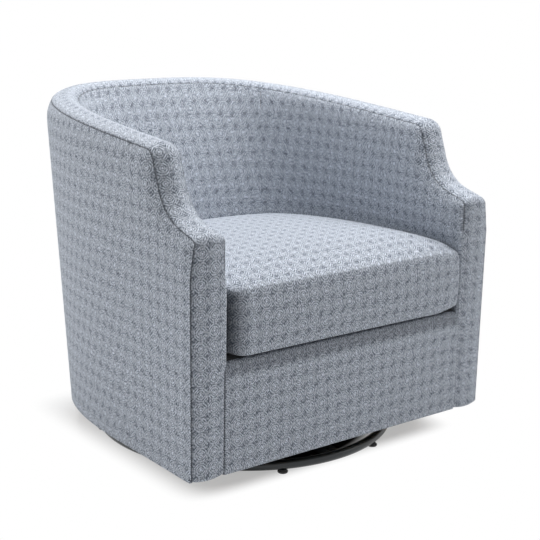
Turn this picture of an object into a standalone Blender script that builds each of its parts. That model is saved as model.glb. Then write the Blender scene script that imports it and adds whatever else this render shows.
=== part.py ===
# Swivel glider barrel chair, modelled as the pieces it comes apart into on a bench.
# Metres, +Z up. The sitter looks along -Y. The origin is on the floor, under the middle of the outline.

import math

import bmesh
import bpy
import numpy as np
from mathutils import Matrix

for leftover in list(bpy.data.objects):
    bpy.data.objects.remove(leftover, do_unlink=True)

# Overall sizes
WIDTH = 0.855
DEPTH = 0.898
HEIGHT = 0.800
BODY_BOTTOM = 0.0645
GAP = 0.0003

# Barrel outline
SIDE_TAPER = 0.0096
SIDE_BOW = 0.003
CURVE_START = 0.240
BACK_LEAN = 0.168
BACK_SQUARENESS = 2.94
RIM_SLOPE = 0.0785
BACK_SEAM_ANGLE = math.radians(43)

# Arm profile, from the shoulder down the ogee to the nose of the arm
SHOULDER_SETBACK = 0.174
SHOULDER_RADIUS = 0.035
OGEE_LEAN = math.radians(20)
OGEE_RADIUS = 0.130
ARM_TOP_FALL = math.radians(15.6)
ARM_FRONT_HEIGHT = 0.577
NOSE_INNER_RADIUS = 0.004

# Wall build-up, from the outside in
WALL = 0.080
COVER = 0.010
FRAME = 0.024
BAND = 0.012
BAND_CROWN = 0.004
BAND_ROLL = 0.008
BAND_PLAY = 0.0006
PAD_PLAY = 0.0012

# Seat space between the inside arms and in front of the inside back
ARM_DEPTH = 0.0895
BACK_DEPTH = 0.239
SEAT_WIDTH = WIDTH - 2 * ARM_DEPTH
SEAT_DEPTH = DEPTH - BACK_DEPTH
SEAT_SQUARENESS = 3.0
SEAT_SEAM_ANGLE = math.radians(50)
BACK_PAD_CROWN = 0.016
ARM_PAD_CROWN = 0.006

# Cushion, deck and springs
DECK_HEIGHT = 0.3177
DECK = 0.029
CUSHION_EDGE = 0.1445
CUSHION_CROWN = 0.022
CUSHION_FULLNESS = 2.6
CUSHION_GAP = 0.002
CUSHION_ROLL = 0.012
CUSHION_DRAW_IN = 0.004
DECK_PLAY = 0.0008
SPRING_COUNT = 5
SPRING_MARGIN = 0.108
SPRING_SPACING = (SEAT_WIDTH - 2 * SPRING_MARGIN) / (SPRING_COUNT - 1)
SPRING_WIRE = 0.0018
SPRING_SWING = 0.024
SPRING_BENDS = 8

# Wood frame
FRAME_LIFT = 0.0035
FRONT_RAIL = 0.028
LEDGER_WIDTH = 0.030
LEDGER_HEIGHT = 0.044
LEDGER_END_ANGLE = math.radians(56)
LEDGER_CLEAR = 0.001
REAR_RAIL = 0.030
BACK_RAIL_HEIGHT = 0.060
TOP_RAIL_HEIGHT = 0.050
STILE_WIDTH = 0.045
STILE_SPREAD = 0.260
STILE_INSET = 0.002
MECHANISM_RAIL_WIDTH = 0.050
DUST_COVER = 0.0015

# Ring base
FOOT_COUNT = 8
FOOT_RADIUS = 0.012
FOOT_HEIGHT = 0.008
FOOT_CHAMFER = 0.002
RING_RADIUS = 0.353
RING_TUBE = 0.011
RING_SETBACK = 0.393
CROSS_WIDTH = 0.030
CROSS_HEIGHT = 0.016

# Swivel
SWIVEL_PLATE_RADIUS = 0.095
SWIVEL_PLATE = 0.0035
BALL_TRACK_RADIUS = 0.075
BALL_RADIUS = 0.0035
PIN_RADIUS = 0.010
PIN_FLANGE = 0.006
NUT_RADIUS = 0.019
NUT_HEIGHT = 0.007

# Glider carriage, links and hangers
CARRIAGE_LENGTH = 0.320
CARRIAGE_PLATE = 0.006
CARRIAGE_CORNER = 0.020
CARRIAGE_HOLE_ROOM = 0.008
PIVOT_SPREAD_X = 0.300
PIVOT_SPREAD_Y = 0.260
PIVOT_LIFT = 0.0275
STUD_RADIUS = 0.006
STUD_HEAD_RADIUS = 0.0095
STUD_HEAD = 0.0025
LINK_LENGTH = 0.110
LINK_WIDTH = 0.026
LINK_PLATE = 0.004
SIDE_PLAY = 0.0005
BRACKET_PLATE = 0.004
BRACKET_FOOT = 0.038
BRACKET_BASE = 0.060
HANGER_RISE = 0.020
HANGER_PLAY = 0.0015

# Fineness of the meshes
BACK_COLUMNS = 11
CORNER_COLUMNS = 9
ARM_TURNS = (6, 8, 6)
WALL_ROWS = 5
PAD_ROWS = 7
CROWN_RINGS = (0.96, 0.85, 0.70, 0.50, 0.28, 0.08)
RING_FACETS = 60

# Derived places
FRONT = -DEPTH / 2
BACK = DEPTH / 2
FRONT_LINE = FRONT + BAND_CROWN
CURVE_Y = FRONT + CURVE_START
RIM_BACK = HEIGHT - BAND_CROWN
SEAT_BACK = FRONT + SEAT_DEPTH
FRAME_OUT = COVER + GAP
FRAME_IN = FRAME_OUT + FRAME
PAD = WALL - FRAME_IN - PAD_PLAY
NOSE_RADIUS = BAND + NOSE_INNER_RADIUS
FRAME_BOTTOM = BODY_BOTTOM + FRAME_LIFT
SWIVEL_Y = FRONT + RING_SETBACK
RING_Z = FOOT_HEIGHT + GAP + RING_TUBE
CROSS_TOP = RING_Z + CROSS_HEIGHT / 2
LOWER_PLATE_Z = CROSS_TOP + GAP
BALL_RING_Z = LOWER_PLATE_Z + SWIVEL_PLATE + GAP
UPPER_PLATE_Z = BALL_RING_Z + 2 * BALL_RADIUS + GAP
CARRIAGE_Z = UPPER_PLATE_Z + SWIVEL_PLATE + GAP
CARRIAGE_TOP = CARRIAGE_Z + CARRIAGE_PLATE
LOWER_PIVOT_Z = CARRIAGE_TOP + PIVOT_LIFT
UPPER_PIVOT_Z = LOWER_PIVOT_Z + LINK_LENGTH
HANGER_TOP = UPPER_PIVOT_Z + HANGER_RISE
DUST_COVER_Z = HANGER_TOP + GAP
MECHANISM_RAIL_Z = DUST_COVER_Z + DUST_COVER + GAP
DECK_Z = DECK_HEIGHT - DECK
SPRING_Z = DECK_Z - GAP - SPRING_WIRE
RAIL_TOP = SPRING_Z - SPRING_WIRE - GAP
PAD_BOTTOM = DECK_Z
LEDGER_TOP = PAD_BOTTOM - GAP
LEDGER_Z = LEDGER_TOP - LEDGER_HEIGHT
MECHANISM_RAIL_TOP = LEDGER_Z - GAP
CUSHION_BOTTOM = DECK_HEIGHT + GAP
CUSHION_TOP = CUSHION_BOTTOM + CUSHION_EDGE
SEAT_LEVEL = CUSHION_TOP - CUSHION_ROLL
FRONT_BACKING = FRONT_LINE + max(COVER, BAND) + GAP
WEB_X = PIVOT_SPREAD_X / 2
LINK_X = WEB_X + SIDE_PLAY
STUD_HEAD_X = LINK_X + LINK_PLATE + SIDE_PLAY
HANGER_X = STUD_HEAD_X + STUD_HEAD + HANGER_PLAY

SIDES = {"left": -1, "right": 1}
ENDS = {"front": -1, "rear": 1}
SMOOTH_ANGLE = math.radians(40)


# Materials: one Principled material for each finish
def finish(name, color, roughness, metallic):
    material = bpy.data.materials.new(name)
    material.use_nodes = True
    shader = material.node_tree.nodes["Principled BSDF"]
    shader.inputs["Base Color"].default_value = (*color, 1.0)
    shader.inputs["Roughness"].default_value = roughness
    shader.inputs["Metallic"].default_value = metallic
    return material


WOVEN_CLOTH = finish("woven_cloth", (0.28, 0.31, 0.36), 0.92, 0.0)
BLACK_STEEL = finish("black_steel", (0.012, 0.013, 0.015), 0.35, 0.6)
ZINC_STEEL = finish("zinc_steel", (0.45, 0.46, 0.47), 0.38, 0.9)
BLACK_PLASTIC = finish("black_plastic", (0.015, 0.015, 0.016), 0.6, 0.0)
FRAME_WOOD = finish("frame_wood", (0.62, 0.45, 0.27), 0.7, 0.0)
SPRING_STEEL = finish("spring_steel", (0.30, 0.31, 0.33), 0.4, 0.9)
DECK_FELT = finish("deck_felt", (0.20, 0.21, 0.23), 0.95, 0.0)
BLACK_LINING = finish("black_lining", (0.02, 0.02, 0.022), 0.95, 0.0)


# Pivots: empties on the joint axes, which carry the pieces that turn about them
def pivot(name, place):
    empty = bpy.data.objects.new(name, None)
    empty.location = place
    empty.empty_display_size = 0.05
    bpy.context.scene.collection.objects.link(empty)
    return empty


SWIVEL_PIVOT = pivot("swivel_axis", (0.0, SWIVEL_Y, 0.0))
SEAT_PIVOT = pivot("seat_axis", (-LINK_X, SWIVEL_Y - PIVOT_SPREAD_Y / 2, LOWER_PIVOT_Z))


def place_object(name, mesh, material, carrier=None):
    """Make a named object of a mesh that is drawn in world places, and hang it on its carrier."""
    mesh.materials.clear()
    mesh.materials.append(material)
    mesh.shade_smooth()
    mesh.set_sharp_from_angle(angle=SMOOTH_ANGLE)
    piece = bpy.data.objects.new(name, mesh)
    bpy.context.scene.collection.objects.link(piece)
    if carrier is not None:
        piece.parent = carrier
        piece.matrix_parent_inverse = Matrix.Translation(-carrier.location)
    return piece


def closed_mesh(name, points, faces):
    """Mesh of a closed body, with its faces turned outwards."""
    shape = bmesh.new()
    corners = [shape.verts.new(point) for point in points]
    for face in faces:
        shape.faces.new([corners[index] for index in face])
    bmesh.ops.recalc_face_normals(shape, faces=shape.faces)
    mesh = bpy.data.meshes.new(name)
    shape.to_mesh(mesh)
    shape.free()
    return mesh


def loft(name, rings):
    """Closed mesh through rings of equally many points, capped at both ends."""
    count = len(rings[0])
    points = [point for ring in rings for point in ring]
    faces = [list(range(count)), [len(points) - count + index for index in range(count)]]
    for step in range(len(rings) - 1):
        for index in range(count):
            near = step * count
            after = (index + 1) % count
            faces.append([near + index, near + after, near + count + after, near + count + index])
    return closed_mesh(name, points, faces)


def shell(name, outside, inside):
    """Closed mesh between two like grids of points, cut into triangles along the same diagonals."""
    columns = len(outside)
    rows = len(outside[0])
    points = [point for grid in (outside, inside) for column in grid for point in column]
    layer = columns * rows

    def at(grid, column, row):
        return grid * layer + column * rows + row

    quads = []
    for grid in (0, 1):
        for column in range(columns - 1):
            for row in range(rows - 1):
                quads.append([at(grid, column, row), at(grid, column + 1, row),
                              at(grid, column + 1, row + 1), at(grid, column, row + 1)])
    for column in range(columns - 1):
        for row in (0, rows - 1):
            quads.append([at(0, column, row), at(0, column + 1, row),
                          at(1, column + 1, row), at(1, column, row)])
    for row in range(rows - 1):
        for column in (0, columns - 1):
            quads.append([at(0, column, row), at(0, column, row + 1),
                          at(1, column, row + 1), at(1, column, row)])
    faces = []
    for first, second, third, fourth in quads:
        faces.append([first, second, third])
        faces.append([first, third, fourth])
    return closed_mesh(name, points, faces)


def mirror_points(rings):
    """The same rings or columns of points on the other side of the chair."""
    return [[(-x, y, z) for x, y, z in ring] for ring in rings]


def box(name, low, high):
    """Closed block between two corners."""
    ring = [(low[0], low[1]), (high[0], low[1]), (high[0], high[1]), (low[0], high[1])]
    return loft(name, [[(x, y, z) for x, y in ring] for z in (low[2], high[2])])


def plate(name, outline, holes, thickness, frame):
    """Flat plate of an outline with holes, drawn in XY, thickened along Z and put in place by frame."""
    shape = bmesh.new()
    edges = []
    for ring in [outline] + holes:
        corners = [shape.verts.new((x, y, 0.0)) for x, y in ring]
        for index, corner in enumerate(corners):
            edges.append(shape.edges.new((corner, corners[(index + 1) % len(corners)])))
    bmesh.ops.triangle_fill(shape, use_beauty=True, edges=edges)
    raised = bmesh.ops.extrude_face_region(shape, geom=list(shape.faces))
    lifted = [part for part in raised["geom"] if isinstance(part, bmesh.types.BMVert)]
    bmesh.ops.translate(shape, verts=lifted, vec=(0.0, 0.0, thickness))
    bmesh.ops.transform(shape, matrix=frame, verts=shape.verts)
    bmesh.ops.recalc_face_normals(shape, faces=shape.faces)
    mesh = bpy.data.meshes.new(name)
    shape.to_mesh(mesh)
    shape.free()
    return mesh


def circle(radius, count, center=(0.0, 0.0), start=0.0):
    """Points round a circle."""
    turn = 2 * math.pi / count
    return [(center[0] + radius * math.cos(start + turn * index),
             center[1] + radius * math.sin(start + turn * index)) for index in range(count)]


def turned(name, profile, count, center):
    """Solid turned about an upright axis: profile is a closed ring of radius and height."""
    points = []
    faces = []
    size = len(profile)
    for x, y in circle(1.0, count):
        points += [(center[0] + radius * x, center[1] + radius * y, height) for radius, height in profile]
    for step in range(count):
        near = step * size
        far = ((step + 1) % count) * size
        for index in range(size):
            after = (index + 1) % size
            faces.append([near + index, far + index, far + after, near + after])
    return closed_mesh(name, points, faces)


def fuse(name, meshes):
    """One mesh from meshes that run into each other."""
    body = bpy.data.objects.new(name, meshes[0])
    bpy.context.scene.collection.objects.link(body)
    others = []
    for mesh in meshes[1:]:
        other = bpy.data.objects.new(name + "_add", mesh)
        other.hide_render = True
        other.display_type = "WIRE"
        bpy.context.scene.collection.objects.link(other)
        joined = body.modifiers.new("join", "BOOLEAN")
        joined.operation = "UNION"
        joined.solver = "EXACT"
        joined.object = other
        others.append(other)
    bpy.context.view_layer.update()
    evaluated = body.evaluated_get(bpy.context.evaluated_depsgraph_get())
    fused = bpy.data.meshes.new_from_object(evaluated)
    for scrap in [body] + others:
        bpy.data.objects.remove(scrap, do_unlink=True)
    return fused


# Outline of the barrel
def half_width(z):
    return WIDTH / 2 - SIDE_TAPER * (HEIGHT - z)


def outer_plan(step, z):
    """Right half of the outline at a height: step 0 is the front, 1 the start of the curve, 2 mid back."""
    if step <= 1:
        y = FRONT_LINE + step * (CURVE_Y - FRONT_LINE)
        return np.array([half_width(z) - SIDE_BOW * (1 - step) ** 2, y])
    angle = (step - 1) * math.pi / 2
    power = 2 / BACK_SQUARENESS
    reach = BACK - BACK_LEAN * (RIM_BACK - z) - CURVE_Y
    x = half_width(z) * max(math.cos(angle), 0.0) ** power
    return np.array([x, CURVE_Y + reach * math.sin(angle) ** power])


def inward(step, z):
    """Level direction from the outline to the inside of the wall."""
    nudge = 0.0001
    run = outer_plan(min(step + nudge, 2.0), z) - outer_plan(max(step - nudge, 0.0), z)
    run /= np.linalg.norm(run)
    return np.array([-run[1], run[0]])


def even_steps(start, end, count):
    """Steps that part the outline from start to end into equal lengths."""
    fine = np.linspace(start, end, 600)
    places = np.array([outer_plan(step, RIM_BACK) for step in fine])
    runs = np.linalg.norm(np.diff(places, axis=0), axis=1)
    length = np.concatenate([[0.0], np.cumsum(runs)])
    return np.interp(np.linspace(0.0, length[-1], count), length, fine)


def rim_height(y):
    return RIM_BACK - RIM_SLOPE * (BACK - y)


def rim_point(step):
    """Place on the outer edge of the rim, behind the start of the curve."""
    z = RIM_BACK
    for _ in range(6):
        x, y = outer_plan(step, z)
        z = rim_height(y)
    return np.array([x, y, z])


LEG_SHARE = 0.48


def rounded_path(corners, radii, turns):
    """Open path through corners, each rounded by an arc that its two legs can hold."""
    path = [np.array(corners[0])]
    for index, radius in enumerate(radii):
        before, corner, after = (np.array(corners[index + shift]) for shift in range(3))
        back_leg = before - corner
        on_leg = after - corner
        back_way = back_leg / np.linalg.norm(back_leg)
        on_way = on_leg / np.linalg.norm(on_leg)
        half = math.acos(np.clip(back_way @ on_way, -1.0, 1.0)) / 2
        room = LEG_SHARE * min(np.linalg.norm(back_leg), np.linalg.norm(on_leg))
        held = min(radius / math.tan(half), room)
        bow = held * math.tan(half)
        middle = back_way + on_way
        center = corner + middle / np.linalg.norm(middle) * bow / math.sin(half)
        first = corner + back_way * held - center
        across = corner + on_way * held - center
        sweep = math.pi - 2 * half
        for turn in np.linspace(0.0, 1.0, turns[index]):
            path.append(center + (first * math.sin((1 - turn) * sweep) + across * math.sin(turn * sweep))
                        / math.sin(sweep))
    path.append(np.array(corners[-1]))
    return path


def arm_profile():
    """Side view of the right arm's top: rim, shoulder, ogee, nose and the face of the post."""
    shoulder_y = FRONT + SHOULDER_SETBACK
    shoulder = np.array([shoulder_y, rim_height(shoulder_y)])
    nose = np.array([FRONT_LINE, ARM_FRONT_HEIGHT])
    drop = np.array([-math.sin(OGEE_LEAN), -math.cos(OGEE_LEAN)])
    climb = np.array([math.cos(ARM_TOP_FALL), math.sin(ARM_TOP_FALL)])
    lengths = np.linalg.solve(np.column_stack([drop, -climb]), nose - shoulder)
    ogee = shoulder + drop * lengths[0]
    start = np.array([CURVE_Y, rim_height(CURVE_Y)])
    foot = np.array([FRONT_LINE, BODY_BOTTOM])
    radii = (SHOULDER_RADIUS, OGEE_RADIUS, NOSE_RADIUS)
    return rounded_path([start, shoulder, ogee, nose, foot], radii, ARM_TURNS)


def side_step(y):
    return (y - FRONT_LINE) / (CURVE_Y - FRONT_LINE)


class Station:
    """A place along the top of the right-hand wall: across points inwards, up stands on the band."""

    def __init__(self, step, place, across):
        self.step = step
        self.place = place
        self.across = across
        self.up = None

    def at(self, depth, lift):
        return self.place + self.across * depth + self.up * lift


BACK_SEAM = 1 + BACK_SEAM_ANGLE / (math.pi / 2)
SEAM_NUDGE = GAP / 2 / WIDTH


def wall_stations():
    """Stations from the middle of the back to the foot of the post, and how many lie behind the seam."""
    behind = list(even_steps(2.0, BACK_SEAM + SEAM_NUDGE, BACK_COLUMNS))
    corner = list(even_steps(BACK_SEAM - SEAM_NUDGE, 1.0, CORNER_COLUMNS))
    stations = []
    for step in behind + corner:
        place = rim_point(step)
        stations.append(Station(step, place, np.array([*inward(step, place[2]), 0.0])))
    for y, z in arm_profile()[1:]:
        place = np.array([*outer_plan(side_step(y), z), z])
        stations.append(Station(side_step(y), place, np.array([-1.0, 0.0, 0.0])))
    places = np.array([station.place for station in stations])
    runs = np.gradient(places, axis=0)
    runs[0] = (1.0, 0.0, 0.0)
    runs[-1] = (0.0, 0.0, -1.0)
    for station, run in zip(stations, runs):
        up = np.cross(station.across, run)
        station.up = up / np.linalg.norm(up)
    return stations[:BACK_COLUMNS], stations[BACK_COLUMNS:]


BACK_STATIONS, ARM_STATIONS = wall_stations()
ARM_COLUMNS = ARM_STATIONS[:-1]
POST_INNER = ARM_COLUMNS[-1].place[0] - WALL


def wall_column(station, depth, heights):
    """Points down the wall under a station, at a depth from the outside."""
    lowered = station.at(0.0, -BAND - BAND_PLAY)
    step = station.step if station.step >= 1 else side_step(lowered[1])
    column = []
    for z in heights:
        x, y = outer_plan(step, z) + inward(step, z) * depth
        column.append((x, y, z))
    return column


def wall_top(station):
    return station.at(0.0, -BAND - BAND_PLAY)[2]


def back_row(grid):
    """A grid of columns from the middle of the back out to the seam, carried on to the other side."""
    return grid[::-1] + mirror_points(grid[1:])


def spread(low, high, count):
    return [low + (high - low) * index / (count - 1) for index in range(count)]


# Outside covers
def wall_sheet(stations, outer, inner, bottom, top=None):
    """Two grids of a sheet in the wall, between two depths, from bottom to top or to the band."""
    grids = []
    for depth in (outer, inner):
        columns = []
        for station in stations:
            high = wall_top(station) if top is None else top(station)
            low = bottom(station) if callable(bottom) else bottom
            columns.append(wall_column(station, depth, spread(low, high, WALL_ROWS)))
        grids.append(columns)
    return grids


def add_pair(name, grids, material):
    """A right-hand sheet and its mirror image."""
    for side, sign in SIDES.items():
        sheets = grids if sign > 0 else [mirror_points(grid) for grid in grids]
        label = f"{name}_{side}"
        place_object(label, shell(label, *sheets), material, SEAT_PIVOT)


def add_back(name, grids, material):
    """A sheet round the back, from seam to seam."""
    place_object(name, shell(name, *[back_row(grid) for grid in grids]), material, SEAT_PIVOT)


add_pair("outside_arm", wall_sheet(ARM_COLUMNS, 0.0, COVER, BODY_BOTTOM), WOVEN_CLOTH)
add_back("outside_back", wall_sheet(BACK_STATIONS, 0.0, COVER, BODY_BOTTOM), WOVEN_CLOTH)

# Wood frame in the wall: arm frames, back rails and stiles
add_pair("arm_frame", wall_sheet(ARM_COLUMNS, FRAME_OUT, FRAME_IN, FRAME_BOTTOM), FRAME_WOOD)


def back_rail_top(station):
    return FRAME_BOTTOM + BACK_RAIL_HEIGHT


def top_rail_bottom(station):
    return wall_top(station) - TOP_RAIL_HEIGHT


add_back("back_bottom_rail", wall_sheet(BACK_STATIONS, FRAME_OUT, FRAME_IN, FRAME_BOTTOM, back_rail_top),
         FRAME_WOOD)
add_back("back_top_rail", wall_sheet(BACK_STATIONS, FRAME_OUT, FRAME_IN, top_rail_bottom), FRAME_WOOD)


def stile_columns():
    """The wall columns nearest to a stile's middle, a stile's width apart."""
    spots = np.array([station.place[0] for station in BACK_STATIONS])
    steps = [station.step for station in BACK_STATIONS]
    found = []
    for edge in (-0.5, 0.5):
        step = float(np.interp(STILE_SPREAD / 2 + edge * STILE_WIDTH, spots, steps))
        place = rim_point(step)
        station = Station(step, place, np.array([*inward(step, place[2]), 0.0]))
        station.up = np.array([0.0, 0.0, 1.0])
        found.append(station)
    return found


def stile_bottom(station):
    return back_rail_top(station) + GAP


def stile_top(station):
    return min(top_rail_bottom(near) for near in BACK_STATIONS[:BACK_COLUMNS // 2 + 1]) - GAP


STILE_OUT = FRAME_OUT + STILE_INSET
add_pair("back_stile", wall_sheet(stile_columns(), STILE_OUT, FRAME_IN, stile_bottom, stile_top), FRAME_WOOD)


# Bands over the rim, one round the back and one down each arm to the foot of the post
def band_section(station):
    """Ring of a band across the wall: flat below, rolled at both edges, crowned on top."""
    width = min(WALL, station.place[0] - POST_INNER) if station.step < 1 else WALL
    edge = [(0.0, -BAND), (0.0, -BAND_ROLL), (BAND_ROLL / 3, -BAND_ROLL / 4), (2 * BAND_ROLL, BAND_CROWN / 2)]
    other = [(width - depth, lift) for depth, lift in reversed(edge)]
    return [tuple(station.at(*point)) for point in edge + [(width / 2, BAND_CROWN)] + other]


RIGHT_ARM_BAND = [band_section(station) for station in ARM_STATIONS]
for side, sign in SIDES.items():
    rings = RIGHT_ARM_BAND if sign > 0 else mirror_points(RIGHT_ARM_BAND)
    place_object(f"arm_band_{side}", loft(f"arm_band_{side}", rings), WOVEN_CLOTH, SEAT_PIVOT)
BACK_BAND = back_row([band_section(station) for station in BACK_STATIONS])
place_object("back_band", loft("back_band", BACK_BAND), WOVEN_CLOTH, SEAT_PIVOT)


# Inside pads, which lean from the rim down to the seat
def seat_plan(step, inset=0.0):
    """Right half of the seat space at cushion height, drawn in by an inset."""
    half = SEAT_WIDTH / 2 - inset
    if step <= 1:
        return np.array([half, FRONT_LINE + step * (CURVE_Y - FRONT_LINE)])
    angle = (step - 1) * math.pi / 2
    quarter = math.pi / 2
    seams = ((0.0, 0.0), (BACK_SEAM_ANGLE, SEAT_SEAM_ANGLE), (quarter, quarter))
    angle = float(np.interp(angle, [rim for rim, _ in seams], [seat for _, seat in seams]))
    power = 2 / SEAT_SQUARENESS
    reach = SEAT_BACK - inset - CURVE_Y
    x = half * max(math.cos(angle), 0.0) ** power
    return np.array([x, CURVE_Y + reach * math.sin(angle) ** power])


def pad_columns(stations, crown):
    """Front and rear grids of a pad under its stations: upright by the cushion, leaning out to the rim."""
    front = []
    rear = []
    for station in stations:
        head = np.array(wall_column(station, WALL, [wall_top(station)])[0])
        step = station.step if station.step >= 1 else side_step(head[1])
        seat = seat_plan(step)
        heights = [PAD_BOTTOM] + spread(SEAT_LEVEL, head[2], PAD_ROWS)
        near = []
        for z in heights:
            rise = max(0.0, (z - SEAT_LEVEL) / (head[2] - SEAT_LEVEL))
            swell = crown * 4 * rise * (1 - rise)
            x, y = seat + (head[:2] - seat) * rise + station.across[:2] * swell
            near.append((x, y, z))
        front.append(near)
        shift = station.across * PAD
        rear.append([(x - shift[0], y - shift[1], z) for x, y, z in near])
    return rear, front


add_pair("inside_arm", pad_columns(ARM_COLUMNS, ARM_PAD_CROWN), WOVEN_CLOTH)
add_back("inside_back", pad_columns(BACK_STATIONS, BACK_PAD_CROWN), WOVEN_CLOTH)

# Front: upholstered panel between the posts, and the wood rail behind it
place_object("front_panel", box("front_panel", (-POST_INNER + GAP, FRONT_LINE, BODY_BOTTOM),
                                (POST_INNER - GAP, FRONT_LINE + COVER, DECK_HEIGHT)), WOVEN_CLOTH, SEAT_PIVOT)
FRONT_RAIL_HALF = outer_plan(0.0, FRAME_BOTTOM)[0] - FRAME_IN - GAP
FRONT_RAIL_REAR = FRONT_BACKING + FRONT_RAIL
place_object("front_rail", box("front_rail", (-FRONT_RAIL_HALF, FRONT_BACKING, FRAME_BOTTOM),
                               (FRONT_RAIL_HALF, FRONT_RAIL_REAR, RAIL_TOP)), FRAME_WOOD, SEAT_PIVOT)


# Seat ledgers along the arm frames, and the rear spring rail between their ends
LEDGER_IN = FRAME_IN + LEDGER_CLEAR
LEDGER_STEPS = [*even_steps(1 + LEDGER_END_ANGLE / (math.pi / 2), 1.0, CORNER_COLUMNS),
                side_step(FRONT_RAIL_REAR + GAP)]


def ledger_column(step, depth):
    return [(*(outer_plan(step, z) + inward(step, z) * depth), z) for z in (LEDGER_Z, LEDGER_TOP)]


LEDGER_FACES = []
for depth in (LEDGER_IN, LEDGER_IN + LEDGER_WIDTH):
    LEDGER_FACES.append([ledger_column(step, depth) for step in LEDGER_STEPS])
add_pair("seat_ledger", LEDGER_FACES, FRAME_WOOD)


def wall_half_at(y, depth, z):
    """Half of the room between the two walls at a place along the chair, at a depth in the wall."""
    steps = np.linspace(0.0, 1.9, 400)
    places = np.array([outer_plan(step, z) + inward(step, z) * depth for step in steps])
    return float(np.interp(y, places[:, 1], places[:, 0]))


REAR_RAIL_BACK = SEAT_BACK + REAR_RAIL
REAR_RAIL_HALF = wall_half_at(REAR_RAIL_BACK, LEDGER_IN + LEDGER_WIDTH, LEDGER_Z) - LEDGER_CLEAR
place_object("rear_spring_rail", box("rear_spring_rail", (-REAR_RAIL_HALF, SEAT_BACK, LEDGER_Z),
                                     (REAR_RAIL_HALF, REAR_RAIL_BACK, RAIL_TOP)), FRAME_WOOD, SEAT_PIVOT)


# Sinuous springs from the front rail to the rear spring rail
def add_spring(number):
    middle = SPRING_SPACING * (number - (SPRING_COUNT + 1) / 2)
    start = FRONT_BACKING + FRONT_RAIL / 3
    end = REAR_RAIL_BACK - REAR_RAIL / 3
    count = 4 * SPRING_BENDS + 1
    wire = bpy.data.curves.new(f"seat_spring_{number}", "CURVE")
    wire.dimensions = "3D"
    wire.bevel_depth = SPRING_WIRE
    wire.bevel_resolution = 1
    wire.use_fill_caps = True
    line = wire.splines.new("POLY")
    line.points.add(count - 1)
    for index in range(count):
        along = index / (count - 1)
        swing = SPRING_SWING * math.sin(math.pi * SPRING_BENDS * along)
        line.points[index].co = (middle + swing, start + (end - start) * along, SPRING_Z, 1.0)
    piece = bpy.data.objects.new(f"seat_spring_{number}", wire)
    wire.materials.append(SPRING_STEEL)
    bpy.context.scene.collection.objects.link(piece)
    piece.parent = SEAT_PIVOT
    piece.matrix_parent_inverse = Matrix.Translation(-SEAT_PIVOT.location)


for number in range(1, SPRING_COUNT + 1):
    add_spring(number)


# Deck and cushion share the plan of the seat space
def seat_outline(front, inset):
    """Closed plan of the seat space, from the front right corner round the back to the front left."""
    curve = [station.step for station in BACK_STATIONS + ARM_STATIONS[:CORNER_COLUMNS - 1]]
    steps = spread(side_step(front), 1.0, WALL_ROWS) + sorted(curve)
    right = [tuple(seat_plan(step, inset)) for step in steps]
    return right + [(-x, y) for x, y in reversed(right[:-1])]


DECK_OUTLINE = seat_outline(FRONT_LINE + COVER + GAP, DECK_PLAY)
place_object("seat_deck", loft("seat_deck", [[(x, y, z) for x, y in DECK_OUTLINE]
                                             for z in (DECK_Z, DECK_HEIGHT)]), DECK_FELT, SEAT_PIVOT)


def cushion_rings():
    """Rings of the boxed cushion from the underside up: rolled edges, drawn-in sides, crowned top."""
    outline = np.array(seat_outline(FRONT_LINE, CUSHION_GAP))
    middle = np.array([0.0, outline[:, 1].mean()])
    half = CUSHION_EDGE / 2

    def ring(inset, z):
        away = outline - middle
        length = np.linalg.norm(away, axis=1, keepdims=True)
        return [(x, y, z) for x, y in middle + away * (1 - inset / length)]

    def crown_ring(share):
        lift = CUSHION_CROWN * (1 - share ** CUSHION_FULLNESS)
        return [(x, y, CUSHION_TOP + lift) for x, y in middle + (outline - middle) * share]

    rings = [ring(CUSHION_ROLL, CUSHION_BOTTOM), ring(CUSHION_ROLL / 4, CUSHION_BOTTOM + CUSHION_ROLL / 4),
             ring(0.0, CUSHION_BOTTOM + CUSHION_ROLL), ring(CUSHION_DRAW_IN, CUSHION_BOTTOM + half),
             ring(0.0, CUSHION_TOP - CUSHION_ROLL), ring(CUSHION_ROLL / 4, CUSHION_TOP - CUSHION_ROLL / 4)]
    return rings + [crown_ring(share) for share in CROWN_RINGS]


place_object("seat_cushion", loft("seat_cushion", cushion_rings()), WOVEN_CLOTH, SEAT_PIVOT)

# Mechanism rails across the frame, with the dust cover under them
MECHANISM_RAIL_Y = {end: SWIVEL_Y + sign * PIVOT_SPREAD_Y / 2 for end, sign in ENDS.items()}
for end, middle in MECHANISM_RAIL_Y.items():
    edges = (middle - MECHANISM_RAIL_WIDTH / 2, middle + MECHANISM_RAIL_WIDTH / 2)
    half = min(wall_half_at(edge, FRAME_IN, MECHANISM_RAIL_Z) for edge in edges) - LEDGER_CLEAR
    place_object(f"mechanism_rail_{end}", box(f"mechanism_rail_{end}", (-half, edges[0], MECHANISM_RAIL_Z),
                                              (half, edges[1], MECHANISM_RAIL_TOP)), FRAME_WOOD, SEAT_PIVOT)


def dust_cover_outline():
    steps = [side_step(FRONT_RAIL_REAR + GAP)]
    steps += sorted(station.step for station in BACK_STATIONS + ARM_STATIONS if station.step >= 1)
    right = [outer_plan(step, DUST_COVER_Z) + inward(step, DUST_COVER_Z) * LEDGER_IN for step in steps]
    right = [(x, y) for x, y in right[:-1]] + [(0.0, right[-1][1])]
    return right + [(-x, y) for x, y in reversed(right[:-1])]


place_object("dust_cover", loft("dust_cover", [[(x, y, z) for x, y in dust_cover_outline()]
                                               for z in (DUST_COVER_Z, DUST_COVER_Z + DUST_COVER)]),
             BLACK_LINING, SEAT_PIVOT)


# Ring base: bent tube, welded cross and moulded glides
def ring_mesh():
    section = circle(RING_TUBE, 8, (RING_RADIUS, RING_Z))
    return turned("base_ring", section, RING_FACETS, (0.0, SWIVEL_Y))


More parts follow.
